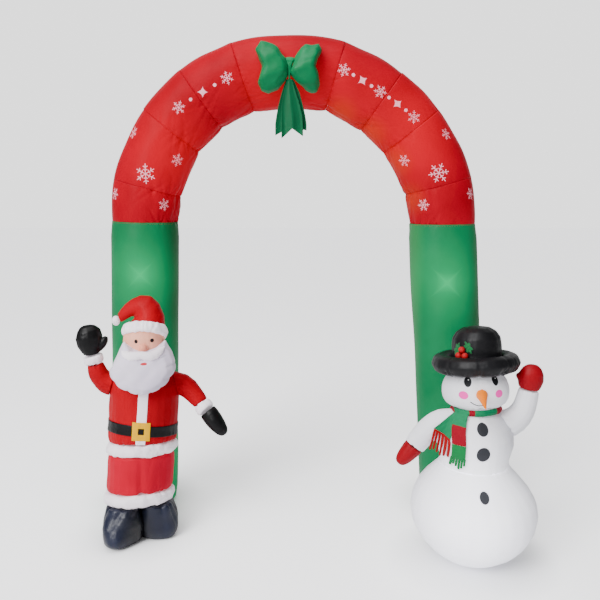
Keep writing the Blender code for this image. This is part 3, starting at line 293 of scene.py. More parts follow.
def fromMesh(mesh, what, size=3):
    found = np.zeros(len(mesh.vertices) * size)
    mesh.vertices.foreach_get(what, found)
    return found.reshape(-1, size)


def setPoints(mesh, points):
    mesh.vertices.foreach_set("co", points.astype(np.float32).ravel())
    mesh.update()


def relaxed(values, edges, rounds):   # each point drawn halfway to the mean of its neighbours
    count = len(values)
    degree = np.bincount(edges.ravel(), minlength=count)[:, None]
    ends = np.concatenate((edges[:, 0], edges[:, 1]))
    others = np.concatenate((edges[:, 1], edges[:, 0]))
    for _ in range(rounds):
        mean = np.stack([np.bincount(ends, values[others, k], count) for k in range(values.shape[1])], 1)
        values = 0.5 * values + 0.5 * mean / degree
    return values


def turned(frontUp, rightUp):   # a small tilt about X and Y, in degrees
    return Matrix.Rotation(math.radians(-frontUp), 3, "X") @ Matrix.Rotation(math.radians(-rightUp), 3, "Y")


def newObject(name, data):
    made = bpy.data.objects.new(name, data)
    bpy.context.scene.collection.objects.link(made)
    return made


def evaluated(holder, name):   # the plain mesh that an object's modifiers make; the object itself goes
    made = bpy.data.meshes.new_from_object(holder.evaluated_get(bpy.context.evaluated_depsgraph_get()))
    bpy.data.objects.remove(holder)
    made.name = name
    return made


def cleaned(mesh, work):   # one bmesh job on a whole mesh
    shape = bmesh.new()
    shape.from_mesh(mesh)
    work(shape)
    shape.to_mesh(mesh)
    shape.free()
    return mesh


def addPiece(name, mesh, materials, nodes=()):
    made = newObject(name, mesh)
    mesh.materials.clear()
    for material in materials if isinstance(materials, tuple) else (materials,):
        mesh.materials.append(material)
    mesh.shade_smooth()
    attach(made, "root")
    if nodes:
        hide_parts(*nodes)
    return made


def dress(node, mesh, materials, slot, fill=None, **sheet):   # the cloth of one CAD node, blown up or a sheet
    made = addPiece(node + "_cloth", mesh, materials, (node,))
    return made


# a CAD solid made into even small faces, rounded as blown-up cloth is, then creased at its seams
def softMesh(node, voxel, rounds, seams=(), billow=(0.0, 0.2), seed=1, shape=None):
    start = cleaned(frame["nodes"][node].data.copy(),
                    lambda shape: bmesh.ops.remove_doubles(shape, verts=shape.verts, dist=1e-5))
    holder = newObject(node + "_start", start)
    remesh = holder.modifiers.new("even", "REMESH")
    remesh.mode = "VOXEL"
    remesh.voxel_size = voxel
    mesh = evaluated(holder, node + "_cloth")
    edges = np.zeros(len(mesh.edges) * 2, int)
    mesh.edges.foreach_get("vertices", edges)
    edges = edges.reshape(-1, 2)
    given = fromMesh(mesh, "co")
    smooth = relaxed(given, edges, rounds)
    setPoints(mesh, smooth)
    normals = fromMesh(mesh, "normal")
    lost = ((given - smooth) * normals).sum(1)[:, None]
    smooth = smooth + normals * relaxed(lost, edges, rounds)   # what smoothing took off is given back
    offset = billow[0] * waves(smooth, seed, billow[1])
    for seam in seams:
        offset = offset + puckers(smooth, seam)
    smooth = smooth + normals * offset[:, None]
    if shape:
        smooth = shape(smooth, normals)
    smooth[:, 2] = np.maximum(smooth[:, 2], 0.0002)   # nothing sinks into the floor
    setPoints(mesh, smooth)
    return mesh


def blowUp(pieces, billow, seed):   # the padded pieces of one figure
    for number, (node, row) in enumerate(pieces.items(), seed):
        material, slot, voxel, rounds, fill, seams, ownBillow, shape = row + (None,) * (8 - len(row))
        mesh = softMesh(node, voxel, rounds, seams or (), ownBillow or billow, number, shape)
        dress(node, mesh, material, slot, fill)


# camera, floor and light
studio = {
    "camera": (-0.0045, -3.1303, 1.640), "down": 8.86, "lens": 40.8, "film": 36,
    "floor": "#fbfbfd", "floorGrain": "#f7f7f9", "grain": 90.0, "rough": 0.75, "floorSize": 60.0,
    "sky": "#ffffff", "skyFront": 0.14, "skyBack": 0.92, "wall": (0.50, 0.85),   # dim in front, bright behind
    "sun": (3.05, (46.0, -8.0, -30.0), 36.0),   # power, turn and spread
    "backdrop": 2.00, "floorGlow": 1.14,        # how bright the plain wall and the lit floor look
    "contact": 0.20, "contactPower": 1.6,       # painted contact shadow: how far and how fast the floor's glow darkens towards a piece
    "lamps": (   # place, aim, size, power
        ((-3.4, -4.4, 3.4), (0.0, 0.1, 1.2), 2.0, 212.0),
        ((2.2, -4.8, 2.2), (0.3, 0.0, 0.8), 2.6, 18.0),
        ((-0.6, -0.6, 5.4), (0.0, 0.1, 1.0), 3.0, 112.0),
    ),
}
camera = newObject("camera", bpy.data.cameras.new("camera"))
camera.location = studio["camera"]
camera.rotation_euler = (math.radians(90 - studio["down"]), 0, 0)
camera.data.lens = studio["lens"]
camera.data.sensor_width = studio["film"]
bpy.context.scene.camera = camera
print("camera set")

bpy.ops.mesh.primitive_plane_add(size=studio["floorSize"])
floor = bpy.context.object
floor.name = "floor"
floor.location.z = -0.0004
floorPaint, floorTree, floorShader, floorSpot = startMaterial("pale painted floor")   # even, matt, no pattern
floorGrain = addNode(floorTree, "ShaderNodeTexNoise", {"Vector": floorSpot}, {"Scale": studio["grain"]})
floorTone = layColour(floorTree, linear(studio["floor"]), linear(studio["floorGrain"]), floorGrain.outputs["Fac"])
floorTree.links.new(floorTone, floorShader.inputs["Base Color"])
floorShader.inputs["Roughness"].default_value = studio["rough"]
floorShader.inputs["Emission Color"].default_value = linear(studio["floor"])
floorSeen = addNode(floorTree, "ShaderNodeLightPath").outputs["Is Camera Ray"]   # it lights nothing itself
floorOpen = addNode(floorTree, "ShaderNodeAmbientOcclusion", None, {"Distance": studio["contact"]}, samples=8)
known = formula(floorTree, {"seen": floorSeen, "open": floorOpen.outputs["AO"]}, (
    ("clear", "POWER", "open", studio["contactPower"]),   # painted contact shadow: the floor's glow fades where a piece stands
    ("shown", "MULTIPLY", "seen", "clear"), ("lit", "MULTIPLY", "shown", studio["floorGlow"])))
floorTree.links.new(known["lit"], floorShader.inputs["Emission Strength"])
floor.data.materials.append(floorPaint)

world = bpy.data.worlds.new("studio")
bpy.context.scene.world = world
world.use_nodes = True
sky, skyTree = world.node_tree.nodes["Background"].inputs, world.node_tree
sky["Color"].default_value = linear(studio["sky"])
facing = addNode(skyTree, "ShaderNodeTexCoord").outputs["Generated"]   # for a sky, the way one looks
depth = addNode(skyTree, "ShaderNodeSeparateXYZ", {0: facing}).outputs["Y"]
power = addNode(skyTree, "ShaderNodeMapRange", {"Value": depth},
                {"From Min": studio["wall"][0], "From Max": studio["wall"][1],
                 "To Min": studio["skyFront"], "To Max": studio["skyBack"]})
seen = addNode(skyTree, "ShaderNodeLightPath").outputs["Is Camera Ray"]
known = formula(skyTree, {"seen": seen, "power": power.outputs[0]}, (
    ("short", "SUBTRACT", studio["backdrop"], "power"), ("all", "MULTIPLY_ADD", "seen", "short", "power")))
skyTree.links.new(known["all"], sky["Strength"])
for k, (place, aim, size, power) in enumerate(studio["lamps"]):
    lamp = newObject(f"lamp_{k}", bpy.data.lights.new(f"lamp_{k}", "AREA"))
    lamp.location = place
    lamp.rotation_euler = (Vector(aim) - Vector(place)).to_track_quat("-Z", "Y").to_euler()
    lamp.data.size = size
    lamp.data.energy = power
power, turn, spread = studio["sun"]   # a very wide soft source, so that the floor is even to its far edge
sun = newObject("sun", bpy.data.lights.new("sun", "SUN"))
sun.rotation_euler = [math.radians(a) for a in turn]
sun.data.energy = power
sun.data.angle = math.radians(spread)
print("studio set")


# coated polyester taffeta: a thin, bright, slightly shiny skin that glows a little where a lamp is inside
def taffeta(name, *looks, **more):
    return clothMaterial("coated polyester taffeta, " + name, *looks, **more)


redCloth = taffeta(   # the arch: a full red that brightens at each lamp inside, with pale printed motifs
    "red", "#a0001a", "#8a0014", 0.38, shine=0.04, prints="#e8a0ae", glow=0.36, glowColour="#ff0418",
    marks=[((x, 0.22, z), (0.065, 0.16, 0.065), "#a82c14", 0.95)   # painted light: its thin inner edge, lit from behind, is painted orange
           for x, z in ((0.185, 2.005), (0.325, 1.910), (0.440, 1.780), (0.508, 1.610))],
    glows=(((-0.605, 0.20, 1.845), (0.17, 0.25, 0.20), 0.9), ((-0.150, 0.20, 2.150), (0.16, 0.25, 0.13), 1.0),
           ((0.138, 0.20, 2.12), (0.16, 0.25, 0.13), 0.6), ((0.500, 0.19, 1.93), (0.19, 0.25, 0.22), 1.0)))
greenCloth = taffeta(   # the legs: deep green, with painted shade down each leg's right edge, a painted highlight down the right leg's left edge, and a lamp and its crossed beams in each
    "green", "#0b613a", "#065430", 0.42, glow=0.84, glowColour="#00e084",
    marks=(((-0.615, 0.30, 1.05), (0.050, 0.26, 1.10), "#023a18", 0.9),
           ((0.945, 0.30, 1.15), (0.080, 0.26, 1.00), "#023a18", 0.9),
           ((0.560, 0.30, 1.10), (0.036, 0.26, 0.90), "#25683a", 0.9)),
    glows=(((-0.80, 0.19, 1.240), (0.12, 0.22, 0.14), 0.42), ((-0.79, 0.19, 1.2467), (0.055, 0.22, 0.055), 0.24),
           ((-0.80, 0.19, 1.0), (0.10, 0.22, 0.65), 0.06), ((-0.80, 0.19, 0.35), (0.24, 0.25, 0.45), 0.36),
           ((0.71, 0.19, 1.210), (0.12, 0.22, 0.14), 0.38), ((0.7194, 0.19, 1.2069), (0.05, 0.22, 0.05), 0.20),
           ((0.73, 0.19, 1.0), (0.10, 0.22, 0.60), 0.05)),
    star=(((-0.7907, 0.36, 1.2467), 0.17, 0.46), ((0.7194, 0.36, 1.2069), 0.19, 0.66)))
bowCloth = taffeta("deep green", "#0f7849", "#0a663b", 0.40)   # a calm green with a soft shine on its folds
ribbonCloth = clothMaterial("thin polyester satin, deep green", "#0b5c39", "#084e2e", 0.44)   # darker, limp tails
suitCloth = taffeta("suit red", "#b00018", "#960012", 0.40, glow=0.08, shine=0.05)   # an even red, nearly matt, with a faint painted glow
trouserCloth = taffeta("trouser red", "#b40028", "#a00020", 0.40, glow=0.46, shine=0.05)   # pinker, lit inside
whiteCloth = taffeta("white", "#e9e9ee", "#e1e1e8", 0.50, glow=0.22)   # the arms' cool, soft white, brightened by a painted glow
printedCloth = taffeta(   # the snowman: white lit from inside, with printed eyes, cheeks, mouth and buttons
    "white, printed", "#e3e3e9", "#dcdce4", 0.50, glow=2.6, glowColour=None,   # its glow is its own tone
    glows=(((0.76, -0.2, 0.4), (4.0, 4.0, 4.0), 0.05), ((0.725, -0.46, 0.265), (0.21, 0.28, 0.21), 0.95),
           ((0.735, -0.38, 0.560), (0.10, 0.18, 0.12), 0.24), ((0.760, -0.34, 0.800), (0.10, 0.14, 0.08), 0.12)),
    marks=(((0.7052, -0.3406, 0.8547), (0.0152, 0.024, 0.0235), "#1b1c1f"),
           ((0.8208, -0.3359, 0.8600), (0.0148, 0.024, 0.0260), "#1b1c1f"),
           ((0.7085, -0.35, 0.8620), (0.0019, 0.15, 0.0022), "#f4f4f6"),
           ((0.8240, -0.35, 0.8670), (0.0019, 0.15, 0.0022), "#f4f4f6"),
           ((0.6864, -0.3522, 0.7990), (0.0195, 0.030, 0.0172), "#e942a6"),
           ((0.8352, -0.3583, 0.8078), (0.0182, 0.030, 0.0168), "#e942a6"),
           ((0.7673, -0.38, 0.6558), (0.0240, 0.16, 0.0250), "#28292d", 0.05),
           ((0.7675, -0.41, 0.5551), (0.0290, 0.16, 0.0330), "#28292d", 0.05),
           ((0.7653, -0.46, 0.3862), (0.0205, 0.16, 0.0215), "#28292d", 0.05)),
    mouth={"at": (0.757, 0.8205), "radius": 0.0627, "half": 0.0021, "below": 0.775, "until": 0.768,
           "front": -0.25, "colour": "#26272b"})
trimCloth = clothMaterial(   # a warm white with a soft haze at its edges and an even painted glow
    "brushed polyester plush, white", "#f9f2f8", "#efe4ee", 0.62, sheen=0.2, glow=0.26)
beardCloth = clothMaterial(   # cooler than the trim, with the mouth printed on it
    "brushed polyester plush, lilac white", "#e6deee", "#d6cce1", 0.60, sheen=0.4,
    marks=(((-0.712, -0.13, 0.8790), (0.0150, 0.05, 0.0055), "#c22f3a"),))
slateCloth = taffeta(   # the boots: blue black with broad crumpled lights, and painted shade where the two meet
    "black", "#161d36", "#0d1122", 0.40, crumple=2.2, shine=0.46,
    marks=(((-0.772, -0.03, 0.060), (0.050, 0.25, 0.13), "#050609", 0.95),))
hatCloth = taffeta("hat black", "#151518", "#0f0f11", 0.42, crumple=1.6, shine=0.24)   # grey lights on its folds
blackCloth = taffeta("black, shiny", "#09090a", "#0d0d0f", 0.36, crumple=1.6, shine=0.20)   # mittens and belt
skinCloth = taffeta(   # a warm skin tone with a faint painted glow and two dot eyes
    "peach", "#f3b096", "#eda084", 0.50, glow=0.10,
    marks=[(at, (0.0085, 0.05, 0.0095), "#1c1a1c")
           for at in ((-0.7632, -0.060, 0.9660), (-0.6923, -0.045, 0.9675))])
noseCloth = taffeta("rosy", "#ee9f85", "#e88f74", 0.50)   # a little redder than the skin
goldCloth = clothMaterial("printed polyester, gold", "#e0ab06", "#d29a00", 0.45, glow=0.25, shine=0.05)   # flat, brightened by a painted glow
carrotCloth = taffeta("orange", "#ee7c00", "#e66a00", 0.44, glow=0.26, shine=0.08)   # a clear orange, made bright by a painted glow
mittenCloth = taffeta("mitten red", "#8f0517", "#7c0311", 0.42, crumple=1.8, glow=0.10)   # a darker red with a faint painted glow
berryCloth = taffeta("berry red", "#b01c22", "#9c151b", 0.40)   # small bright dots on the hat
leafCloth = clothMaterial("pressed felt, holly green", "#1f6b3c", "#185a31", 0.80, sheen=0.3, crumple=1.5)   # dull
knit = {"rough": 0.75, "sheen": 0.1, "crumple": 2.0}   # matt and fuzzy beside the coated cloths
scarfGreen = clothMaterial("knitted acrylic, green", "#127c50", "#0d6c43", **knit)
scarfRed = clothMaterial("knitted acrylic, red", "#8e0620", "#7e041a", **knit)
yarnGreen = clothMaterial("acrylic yarn, bright green", "#0b7a3f", "#086a35", **knit)
yarnRed = clothMaterial("acrylic yarn, bright red", "#a0040f", "#8c020b", **knit)

# the arch: nine sewn panels of red cloth between two green legs
arch = {
    "radius": 0.756, "x": -0.004, "z": 1.484, "sway": 0.008, "flat": 0.34,
    "tube": 0.173, "joint": 0.165, "gap": 0.0003, "endTurn": 14,
    "seams": (0.6, 15.0, 38.0, 54.0, 73.6, 108.5, 126.0, 142.0, 165.5, 178.6),
    "push": (0, 0, 0, 0, 0.007, 0, 0, 0, 0, 0),
    "along": 0.0060, "around": 200,              # length of a face, and faces round the tube
    "wide": 1.004, "pinch": 0.972, "hold": 0.090,   # full width, a seam's width and its reach
    "ends": 0.35,                                # the outer ends are sewn to the legs at nearly full width
    "inner": 0.90, "outer": {38.0: 0.70, 54.0: 0.60, 73.6: 0.36}, "outerMost": 0.14,   # its share on each side
    "crease": (110, 0.0068, 0.034, 0.0058, 3.0),   # count, width, reach, depth and lean
    "fold": (16, 0.017, 0.080, 0.0050, 1.6),       # longer, softer pulls
    "footX": {"left": -0.8005, "right": 0.8640}, "footFolds": (77, 30, 0.010, 0.040, 0.0030),
    "legProfile": ((0.0, 0.128), (0.0045, 0.149), (0.016, 0.161), (0.05, 0.1675), (0.2, 0.169),
                   (0.5, 0.169), (0.82, 0.171), (0.95, 0.1705), (1.0, 0.165)),
    "legRows": ((0.034, 0.10, 16), (0.115, 0.86, 34), (0.87, 1.0, 42)), "bend": (0.82, 0.18), "topShare": 0.35,
    "billow": {"panel": (0.0022, 0.22), "leg": (0.0022, 0.42)},
}
arch["foot"] = (0.0, 0.001, 0.0022, 0.0045, 0.008, 0.012, 0.016, 0.022, 0.028)   # close rows round a foot's rim


def archLine(angle):   # centre, outward direction and radius of the tube at angles in degrees
    a = np.radians(angle)
    seams, push = np.array(arch["seams"]), np.array(arch["push"])
    k = np.clip(np.searchsorted(seams, angle, "right") - 1, 0, len(seams) - 2)
    first, last = seams[k], seams[k + 1]
    straight = np.cos(np.radians(last - first) / 2) / np.cos(a - np.radians(first + last) / 2)
    reach = arch["radius"] + np.interp(angle, seams, push) + arch["sway"] * np.cos(3 * a)
    reach = reach * (1 - arch["flat"] * (1 - straight))
    out = np.stack((np.cos(a), 0 * a, np.sin(a)), 1)
    centre = origin + np.array((arch["x"], 0, arch["z"])) + out * reach[:, None]
    fromEnd = np.minimum(angle - seams[0], seams[-1] - angle)
    grown = np.sin(np.clip(fromEnd / arch["endTurn"], 0, 1) * math.pi / 2)
    return centre, out, arch["joint"] + (arch["tube"] - arch["joint"]) * grown


def archSeam(angle):   # the same at one seam
    return (part[0] for part in archLine(np.array([angle])))


def seamAt(angle, seed, kind="crease"):   # puckers on both sides, deeper towards the walkway
    centre, out, radius = archSeam(angle)
    count, width, reach, depth, lean = arch[kind]
    return ringSeam(centre, (-out[2], 0, out[0]), seed, count, width, reach, depth, 0.0, lean=lean, heavy=-out)


# printed motifs: the degree along the arch, the degree round the tube, half size, kind and turn
motifs = [   # kinds: 0 a flake, 1 a star, 2 a dot
    (149.6, -36, 0.031, 0, 4), (150.2, -131, 0.031, 0, 20), (160.3, -91, 0.047, 0, 8),
    (169.8, -38, 0.031, 0, 2), (170.5, -132, 0.031, 0, 15), (30.7, -47, 0.031, 0, 6),
    (30.1, -135, 0.031, 0, 24), (19.9, -92, 0.047, 0, 10), (10.2, -42, 0.031, 0, 12),
    (9.1, -130, 0.031, 0, 3),
]
bands = {   # first and last degree along, first and last degree round, and kinds in order
    "rows": ((133.6, 113.6, -85, -91, (0, 2, 1, 2, 0)), (71.4, 41.6, -84, -81, (0, 2, 1, 2, 0, 2, 1, 2, 0))),
    "sizes": (0.031, 0.027, 0.015), "bow": -3.5,   # the row keeps to the middle of the tube's front
}
for firstAlong, lastAlong, firstRound, lastRound, kinds in bands["rows"]:
    for k, kind in enumerate(kinds):
        share = k / (len(kinds) - 1)
        motifs.append((firstAlong + (lastAlong - firstAlong) * share,
                       firstRound + (lastRound - firstRound) * share + bands["bow"] * math.sin(share * math.pi),
                       bands["sizes"][kind], kind, 17 * k))


# a closed tube of small faces along a line, with print coordinates where the motifs of the arch lie
def tubePiece(name, centres, outs, radii, angles, seams, billow, seed):
    rows, sides = len(centres), arch["around"]
    around = np.arange(sides) / sides * tau
    unit = outs[:, None, :] * np.cos(around)[None, :, None] + np.array((0, 1.0, 0)) * np.sin(around)[None, :, None]
    if radii.ndim == 1:
        radii = np.repeat(radii[:, None], sides, 1)
    points = (centres[:, None, :] + unit * radii[:, :, None]).reshape(-1, 3)
    offset = billow[0] * waves(points, seed, billow[1])
    for seam in seams:
        offset = offset + puckers(points, seam)
    points = points + unit.reshape(-1, 3) * offset[:, None]
    points = np.concatenate((points, np.stack((points[:sides].mean(0), points[-sides:].mean(0)))))
    row, side = (part.ravel() for part in np.meshgrid(np.arange(rows - 1), np.arange(sides), indexing="ij"))
    after = (side + 1) % sides
    quads = np.stack((row * sides + side, row * sides + after, (row + 1) * sides + after,
                      (row + 1) * sides + side), 1)
    k = np.arange(sides)
    last = (rows - 1) * sides
    caps = np.concatenate((np.stack((0 * k + rows * sides, (k + 1) % sides, k), 1),
                           np.stack((0 * k + rows * sides + 1, last + k, last + (k + 1) % sides), 1)))
    mesh = bpy.data.meshes.new(name)
    mesh.from_pydata(points.tolist(), [], quads.tolist() + caps.tolist())
    if angles is not None:
        corners = 4 * len(quads)
        cornerRow = np.stack((row, row, row + 1, row + 1), 1).ravel()
        cornerSide = np.stack((side, side + 1, side + 1, side), 1).ravel()
        spots = np.full((corners + 3 * len(caps), 2), 9.0)   # far from any motif
        kinds = np.zeros(len(quads) + len(caps))
        bend = np.linalg.norm(centres[:, [0, 2]] - (origin[0] + arch["x"], arch["z"]), axis=1).mean()
        for along, about, size, kind, turn in motifs:
            about = math.radians(about) % tau
            u = ((cornerSide / sides * tau - about + math.pi) % tau - math.pi) * radii.mean()
            v = np.radians(angles[cornerRow] - along) * (bend + radii.mean() * math.cos(about))
            c, s = math.cos(math.radians(turn)), math.sin(math.radians(turn))
            local = np.stack((u * c - v * s, u * s + v * c), 1) / size
            inside = (np.abs(local).max(1) < motifLook["region"]).reshape(-1, 4).all(1)
            spots[:corners][np.repeat(inside, 4)] = local[np.repeat(inside, 4)]
            kinds[:len(quads)][inside] = kind
        mesh.uv_layers.new(name="prints").data.foreach_set("uv", spots.astype(np.float32).ravel())
        mesh.attributes.new("motif", "FLOAT", "FACE").data.foreach_set("value", kinds.astype(np.float32))
    return cleaned(mesh, lambda shape: bmesh.ops.recalc_face_normals(shape, faces=shape.faces))


for number, (first, last) in enumerate(zip(arch["seams"], arch["seams"][1:]), 1):
    length = math.radians(last - first) * arch["radius"]
    share = np.linspace(0, 1, int(length / arch["along"]) + 1)
    angles = first + (last - first) * share
    centres, outs, radii = archLine(np.clip(angles, first + 1e-6, last - 1e-6))
    inward = 0.5 - 0.5 * np.cos(np.arange(arch["around"]) / arch["around"] * tau)   # 1 on the walkway's side
    tight = np.zeros((len(share), arch["around"]))
    for end, seam in ((0, first), (1, last)):
        drawn = np.exp(-np.abs(share - end) * length / arch["hold"] * 3)
        drawn = drawn * (arch["ends"] if seam in (arch["seams"][0], arch["seams"][-1]) else 1.0)
        outer = arch["outer"].get(seam, arch["outerMost"])
        tight = np.maximum(tight, drawn[:, None] * (outer + (arch["inner"] - outer) * inward))
    radii = radii[:, None] * (arch["wide"] - (arch["wide"] - arch["pinch"]) * tight)
    ways = np.stack((-outs[:, 2], 0 * outs[:, 2], outs[:, 0]), 1)
    centres[0] += ways[0] * arch["gap"] / 2
    centres[-1] -= ways[-1] * arch["gap"] / 2
    seams = [seamAt(angle, seed + number, kind) for kind, base in (("crease", 40), ("fold", 60))
             for angle, seed in ((first, base), (last, base + 1))]
    name = f"arch_panel_{number}"
    mesh = tubePiece(name + "_cloth", centres, outs, radii, angles, seams, arch["billow"]["panel"], 7 * number)
    dress(name, mesh, redCloth, "red_coated_cloth", 0.95)

for side, seam, seed, down in (("left", arch["seams"][-1], 50, -1.0), ("right", arch["seams"][0], 41, 1.0)):
    top, out, radius = archSeam(seam)
    foot = origin + np.array((arch["footX"][side], 0, 0))
    share = np.concatenate([np.array(arch["foot"])] + [np.linspace(*row) for row in arch["legRows"]])
    radii = np.interp(share, *np.array(arch["legProfile"]).T)
    centres = foot + (top - foot) * share[:, None]
    blend = np.clip((share - arch["bend"][0]) / arch["bend"][1], 0, 1)   # the rows turn to meet the arch's end
    slope = blend * math.atan2(out[2] * down, out[0] * down)
    outs = np.stack((np.cos(slope), 0 * slope, np.sin(slope)), 1)
    centres[-1] -= np.array((-out[2], 0, out[0])) * arch["gap"] / 2 * down
    topSeam = seamAt(seam, seed)
    topSeam["depth"] *= arch["topShare"]
    footSeam = ringSeam(foot + (0, 0, 0.020), (0, 0, 1.0), *arch["footFolds"], 0.0, lean=1.0)
    mesh = tubePiece(f"leg_{side}_cloth", centres, outs, radii, None, (topSeam, footSeam), arch["billow"]["leg"],
                     31)
    dress(f"leg_{side}", mesh, greenCloth, "green_coated_cloth", 0.95)
print("arch set")


# figures: each stands in its own turned place, so a spot in its own lengths is turned into the frame
def stood(turn, place):
    c, s = math.cos(math.radians(turn)), math.sin(math.radians(turn))
    spin = np.array(((c, -s, 0), (s, c, 0), (0, 0, 1.0)))
    return lambda *spot: spin @ np.array(spot, float) + origin + np.array(place), spin


manSpot, manSpin = stood(12.0, (-0.745, -0.329, 0.0))
snowSpot, snowSpin = stood(-4.0, (0.812, -0.600, 0.0))


def manLine(z):   # the bearded figure's middle line leans over the leg up to the chest
    return manSpot(-0.024 + 0.085 * min(z, 0.75), -0.020 + 0.030 * min(z, 0.75), z)


# the puffed bow, its creases spreading from the knot
bow = {"knot": (-0.010, -0.196, 2.218), "voxel": 0.0042, "level": 2.197, "face": -0.185, "back": -0.200,
       "inner": {"left": (-0.024, 1, 0.007), "right": (0.008, -1, 0.0225)},   # an end's place, way and swelling
       "knotX": -0.0095, "knotHigh": (2.180, 2.227, 2.255), "knotWide": (0.30, 0.50, 1.15),
       "knotAt": (-0.0120, -0.0125, -0.0150), "knotDeep": 0.40,
       "near": 0.075, "levelHalf": 0.042, "forward": 0.008, "faceOver": 0.02}   # how far a swelling spreads
knotSpot = origin + np.array(bow["knot"])
bowFolds = (ringSeam(knotSpot, (0, 1.0, 0), 5, 7, 0.014, 0.10, 0.0042, 0.0, fan=True, lean=0),
            ringSeam(knotSpot, (0, 1.0, 0), 9, 22, 0.0045, 0.055, 0.0024, 0.0, fan=True, lean=0))
knotFolds = (ringSeam(knotSpot, (1.0, 0, 0.12), 3, 12, 0.006, 0.05, 0.004, 0.0),)


def fuller(points, normals, side):   # a loop's inner end swells over the side of the knot
    local = points - origin
    end, way, reach = bow["inner"][side]
    near = np.clip(1 - (end - local[:, 0]) * way / bow["near"], 0, 1)
    near = near * near * (3 - 2 * near)
    level = np.exp(-((local[:, 2] - bow["level"]) / bow["levelHalf"]) ** 2)
    points = points.copy()
    points[:, 0] += way * reach * near * level
    points[:, 1] -= bow["forward"] * near * level * np.clip((bow["face"] - local[:, 1]) / bow["faceOver"], 0, 1)
    return points


def slimmer(points, normals):   # the knot shows as a small wedge between the loops
    local = points - origin
    keep, middle = (np.interp(local[:, 2], bow["knotHigh"], bow[key]) for key in ("knotWide", "knotAt"))
    points = points.copy()
    points[:, 0] = origin[0] + middle + (local[:, 0] - bow["knotX"]) * keep
    points[:, 1] = (origin[1] + bow["back"] + (local[:, 1] - bow["back"])
                    * np.where(local[:, 1] < bow["back"], bow["knotDeep"], 1.0))
    return points


for side in ("left", "right"):
    mesh = softMesh(f"bow_loop_{side}", bow["voxel"], 16, bowFolds, (0.0025, 0.09), 21,
                    lambda points, normals: fuller(points, normals, side))
    dress(f"bow_loop_{side}", mesh, bowCloth, "bow_green_cloth", 0.85)
dress("bow_knot", softMesh("bow_knot", 0.0035, 12, knotFolds, (0.001, 0.05), 2, slimmer), bowCloth,
      "bow_green_cloth", 0.85)


def woven(down, across, spot):   # rows of points, a spot at each pair of shares; each range is from, to, count
    return [[spot(step, share) for share in np.linspace(*across)] for step in np.linspace(*down)]


# a closed sheet of even faces on one or more grids of points, less its open cells; how it lies is passed on but not
# used
def laySheet(node, grids, thick, materials, slot, held, on, flat, bevel=0.0, isOpen=lambda j, k: False, **area):
    name, points, faces = node + "_cloth", [], []
    for rows in grids:
        tall, wide, first = len(rows), len(rows[0]), len(points)
        points += [tuple(point) for row in rows for point in row]
        faces += [(at, at + 1, at + wide + 1, at + wide) for at in (
            first + j * wide + k for j in range(tall - 1) for k in range(wide - 1) if not isOpen(j, k))]
    mesh = bpy.data.meshes.new(name)
    mesh.from_pydata(points, [], faces)
    holder = newObject(name + "_flat", mesh)
    wall = holder.modifiers.new("thickness", "SOLIDIFY")
    wall.thickness = thick
    wall.offset = 0.0
    if bevel:
        rim = holder.modifiers.new("rim", "BEVEL")
        rim.width = bevel
        rim.segments = 2
    return dress(node, evaluated(holder, name), materials, slot, flat=flat, held=held, rests_on=[on + "_cloth"],
                 **area)


tails = {   # z, left x and right x of the edges; then the plane, the notch, the two corners and the flat size
    "back": (((2.178, -0.026, -0.002), (2.156, -0.034, 0.012), (2.110, -0.050, 0.034),
              (2.050, -0.066, 0.050), (2.005, -0.075, 0.061), (1.966, -0.081, 0.067)),
             -0.190, 1.955, (1.914, 1.937), (0.165, 0.26)),
    "front": (((2.178, -0.022, -0.006), (2.156, -0.027, 0.002), (2.110, -0.039, 0.016),
               (2.050, -0.050, 0.036), (2.000, -0.052, 0.047), (1.956, -0.051, 0.050)),
              -0.206, 1.944, (1.899, 1.909), (0.130, 0.27)),
}
tailLook = {"fold": 0.0060, "crease": 0.0007, "top": 2.1685, "held": 2.178, "loose": 0.21, "across": 36, "down": 90,
            "thick": 0.0018, "cut": 0.62}   # the tapered cut takes 0.62 of the flat oblong


def tailSpot(step, share):   # a spot of the tail at hand, by its shares down and across
    drop = np.interp(share, (0, 0.5, 1), (corners[0], notch, corners[1]))
    z = tailLook["top"] + (drop - tailLook["top"]) * step
    left, right = (np.interp(z, high, edge) for edge in sides)
    hang = min(1.0, max(0.0, (tailLook["held"] - z) / tailLook["loose"]))
    fold = tailLook["fold"] * math.sin(share * math.pi * 3) * hang
    crease = tailLook["crease"] * math.sin(share * 23 + 9 * z) * hang
    return origin + (left + (right - left) * share, plane + fold + crease, z)


for side, (edges, plane, notch, corners, flat) in tails.items():
    high, *sides = np.array(edges)[::-1].T
    rows = woven((0, 1, tailLook["down"]), (0, 1, tailLook["across"]), tailSpot)
    laySheet(f"bow_tail_{side}", [rows], tailLook["thick"], ribbonCloth, "bow_green_cloth", "hung", "bow_knot",
             flat, area=tailLook["cut"] * flat[0] * flat[1])
print("bow set")


# the bearded figure's seams: place, tilt and seed, then how many folds, their width, reach and depth
def manSeam(z, frontUp, rightUp, *folds, **more):
    return ringSeam(manLine(z), manSpin @ np.array(turned(frontUp, rightUp) @ Vector((0, 0, 1))), *folds, **more)


def manLimb(at, up, *folds):
    return ringSeam(manSpot(*at), manSpin @ up, *folds)


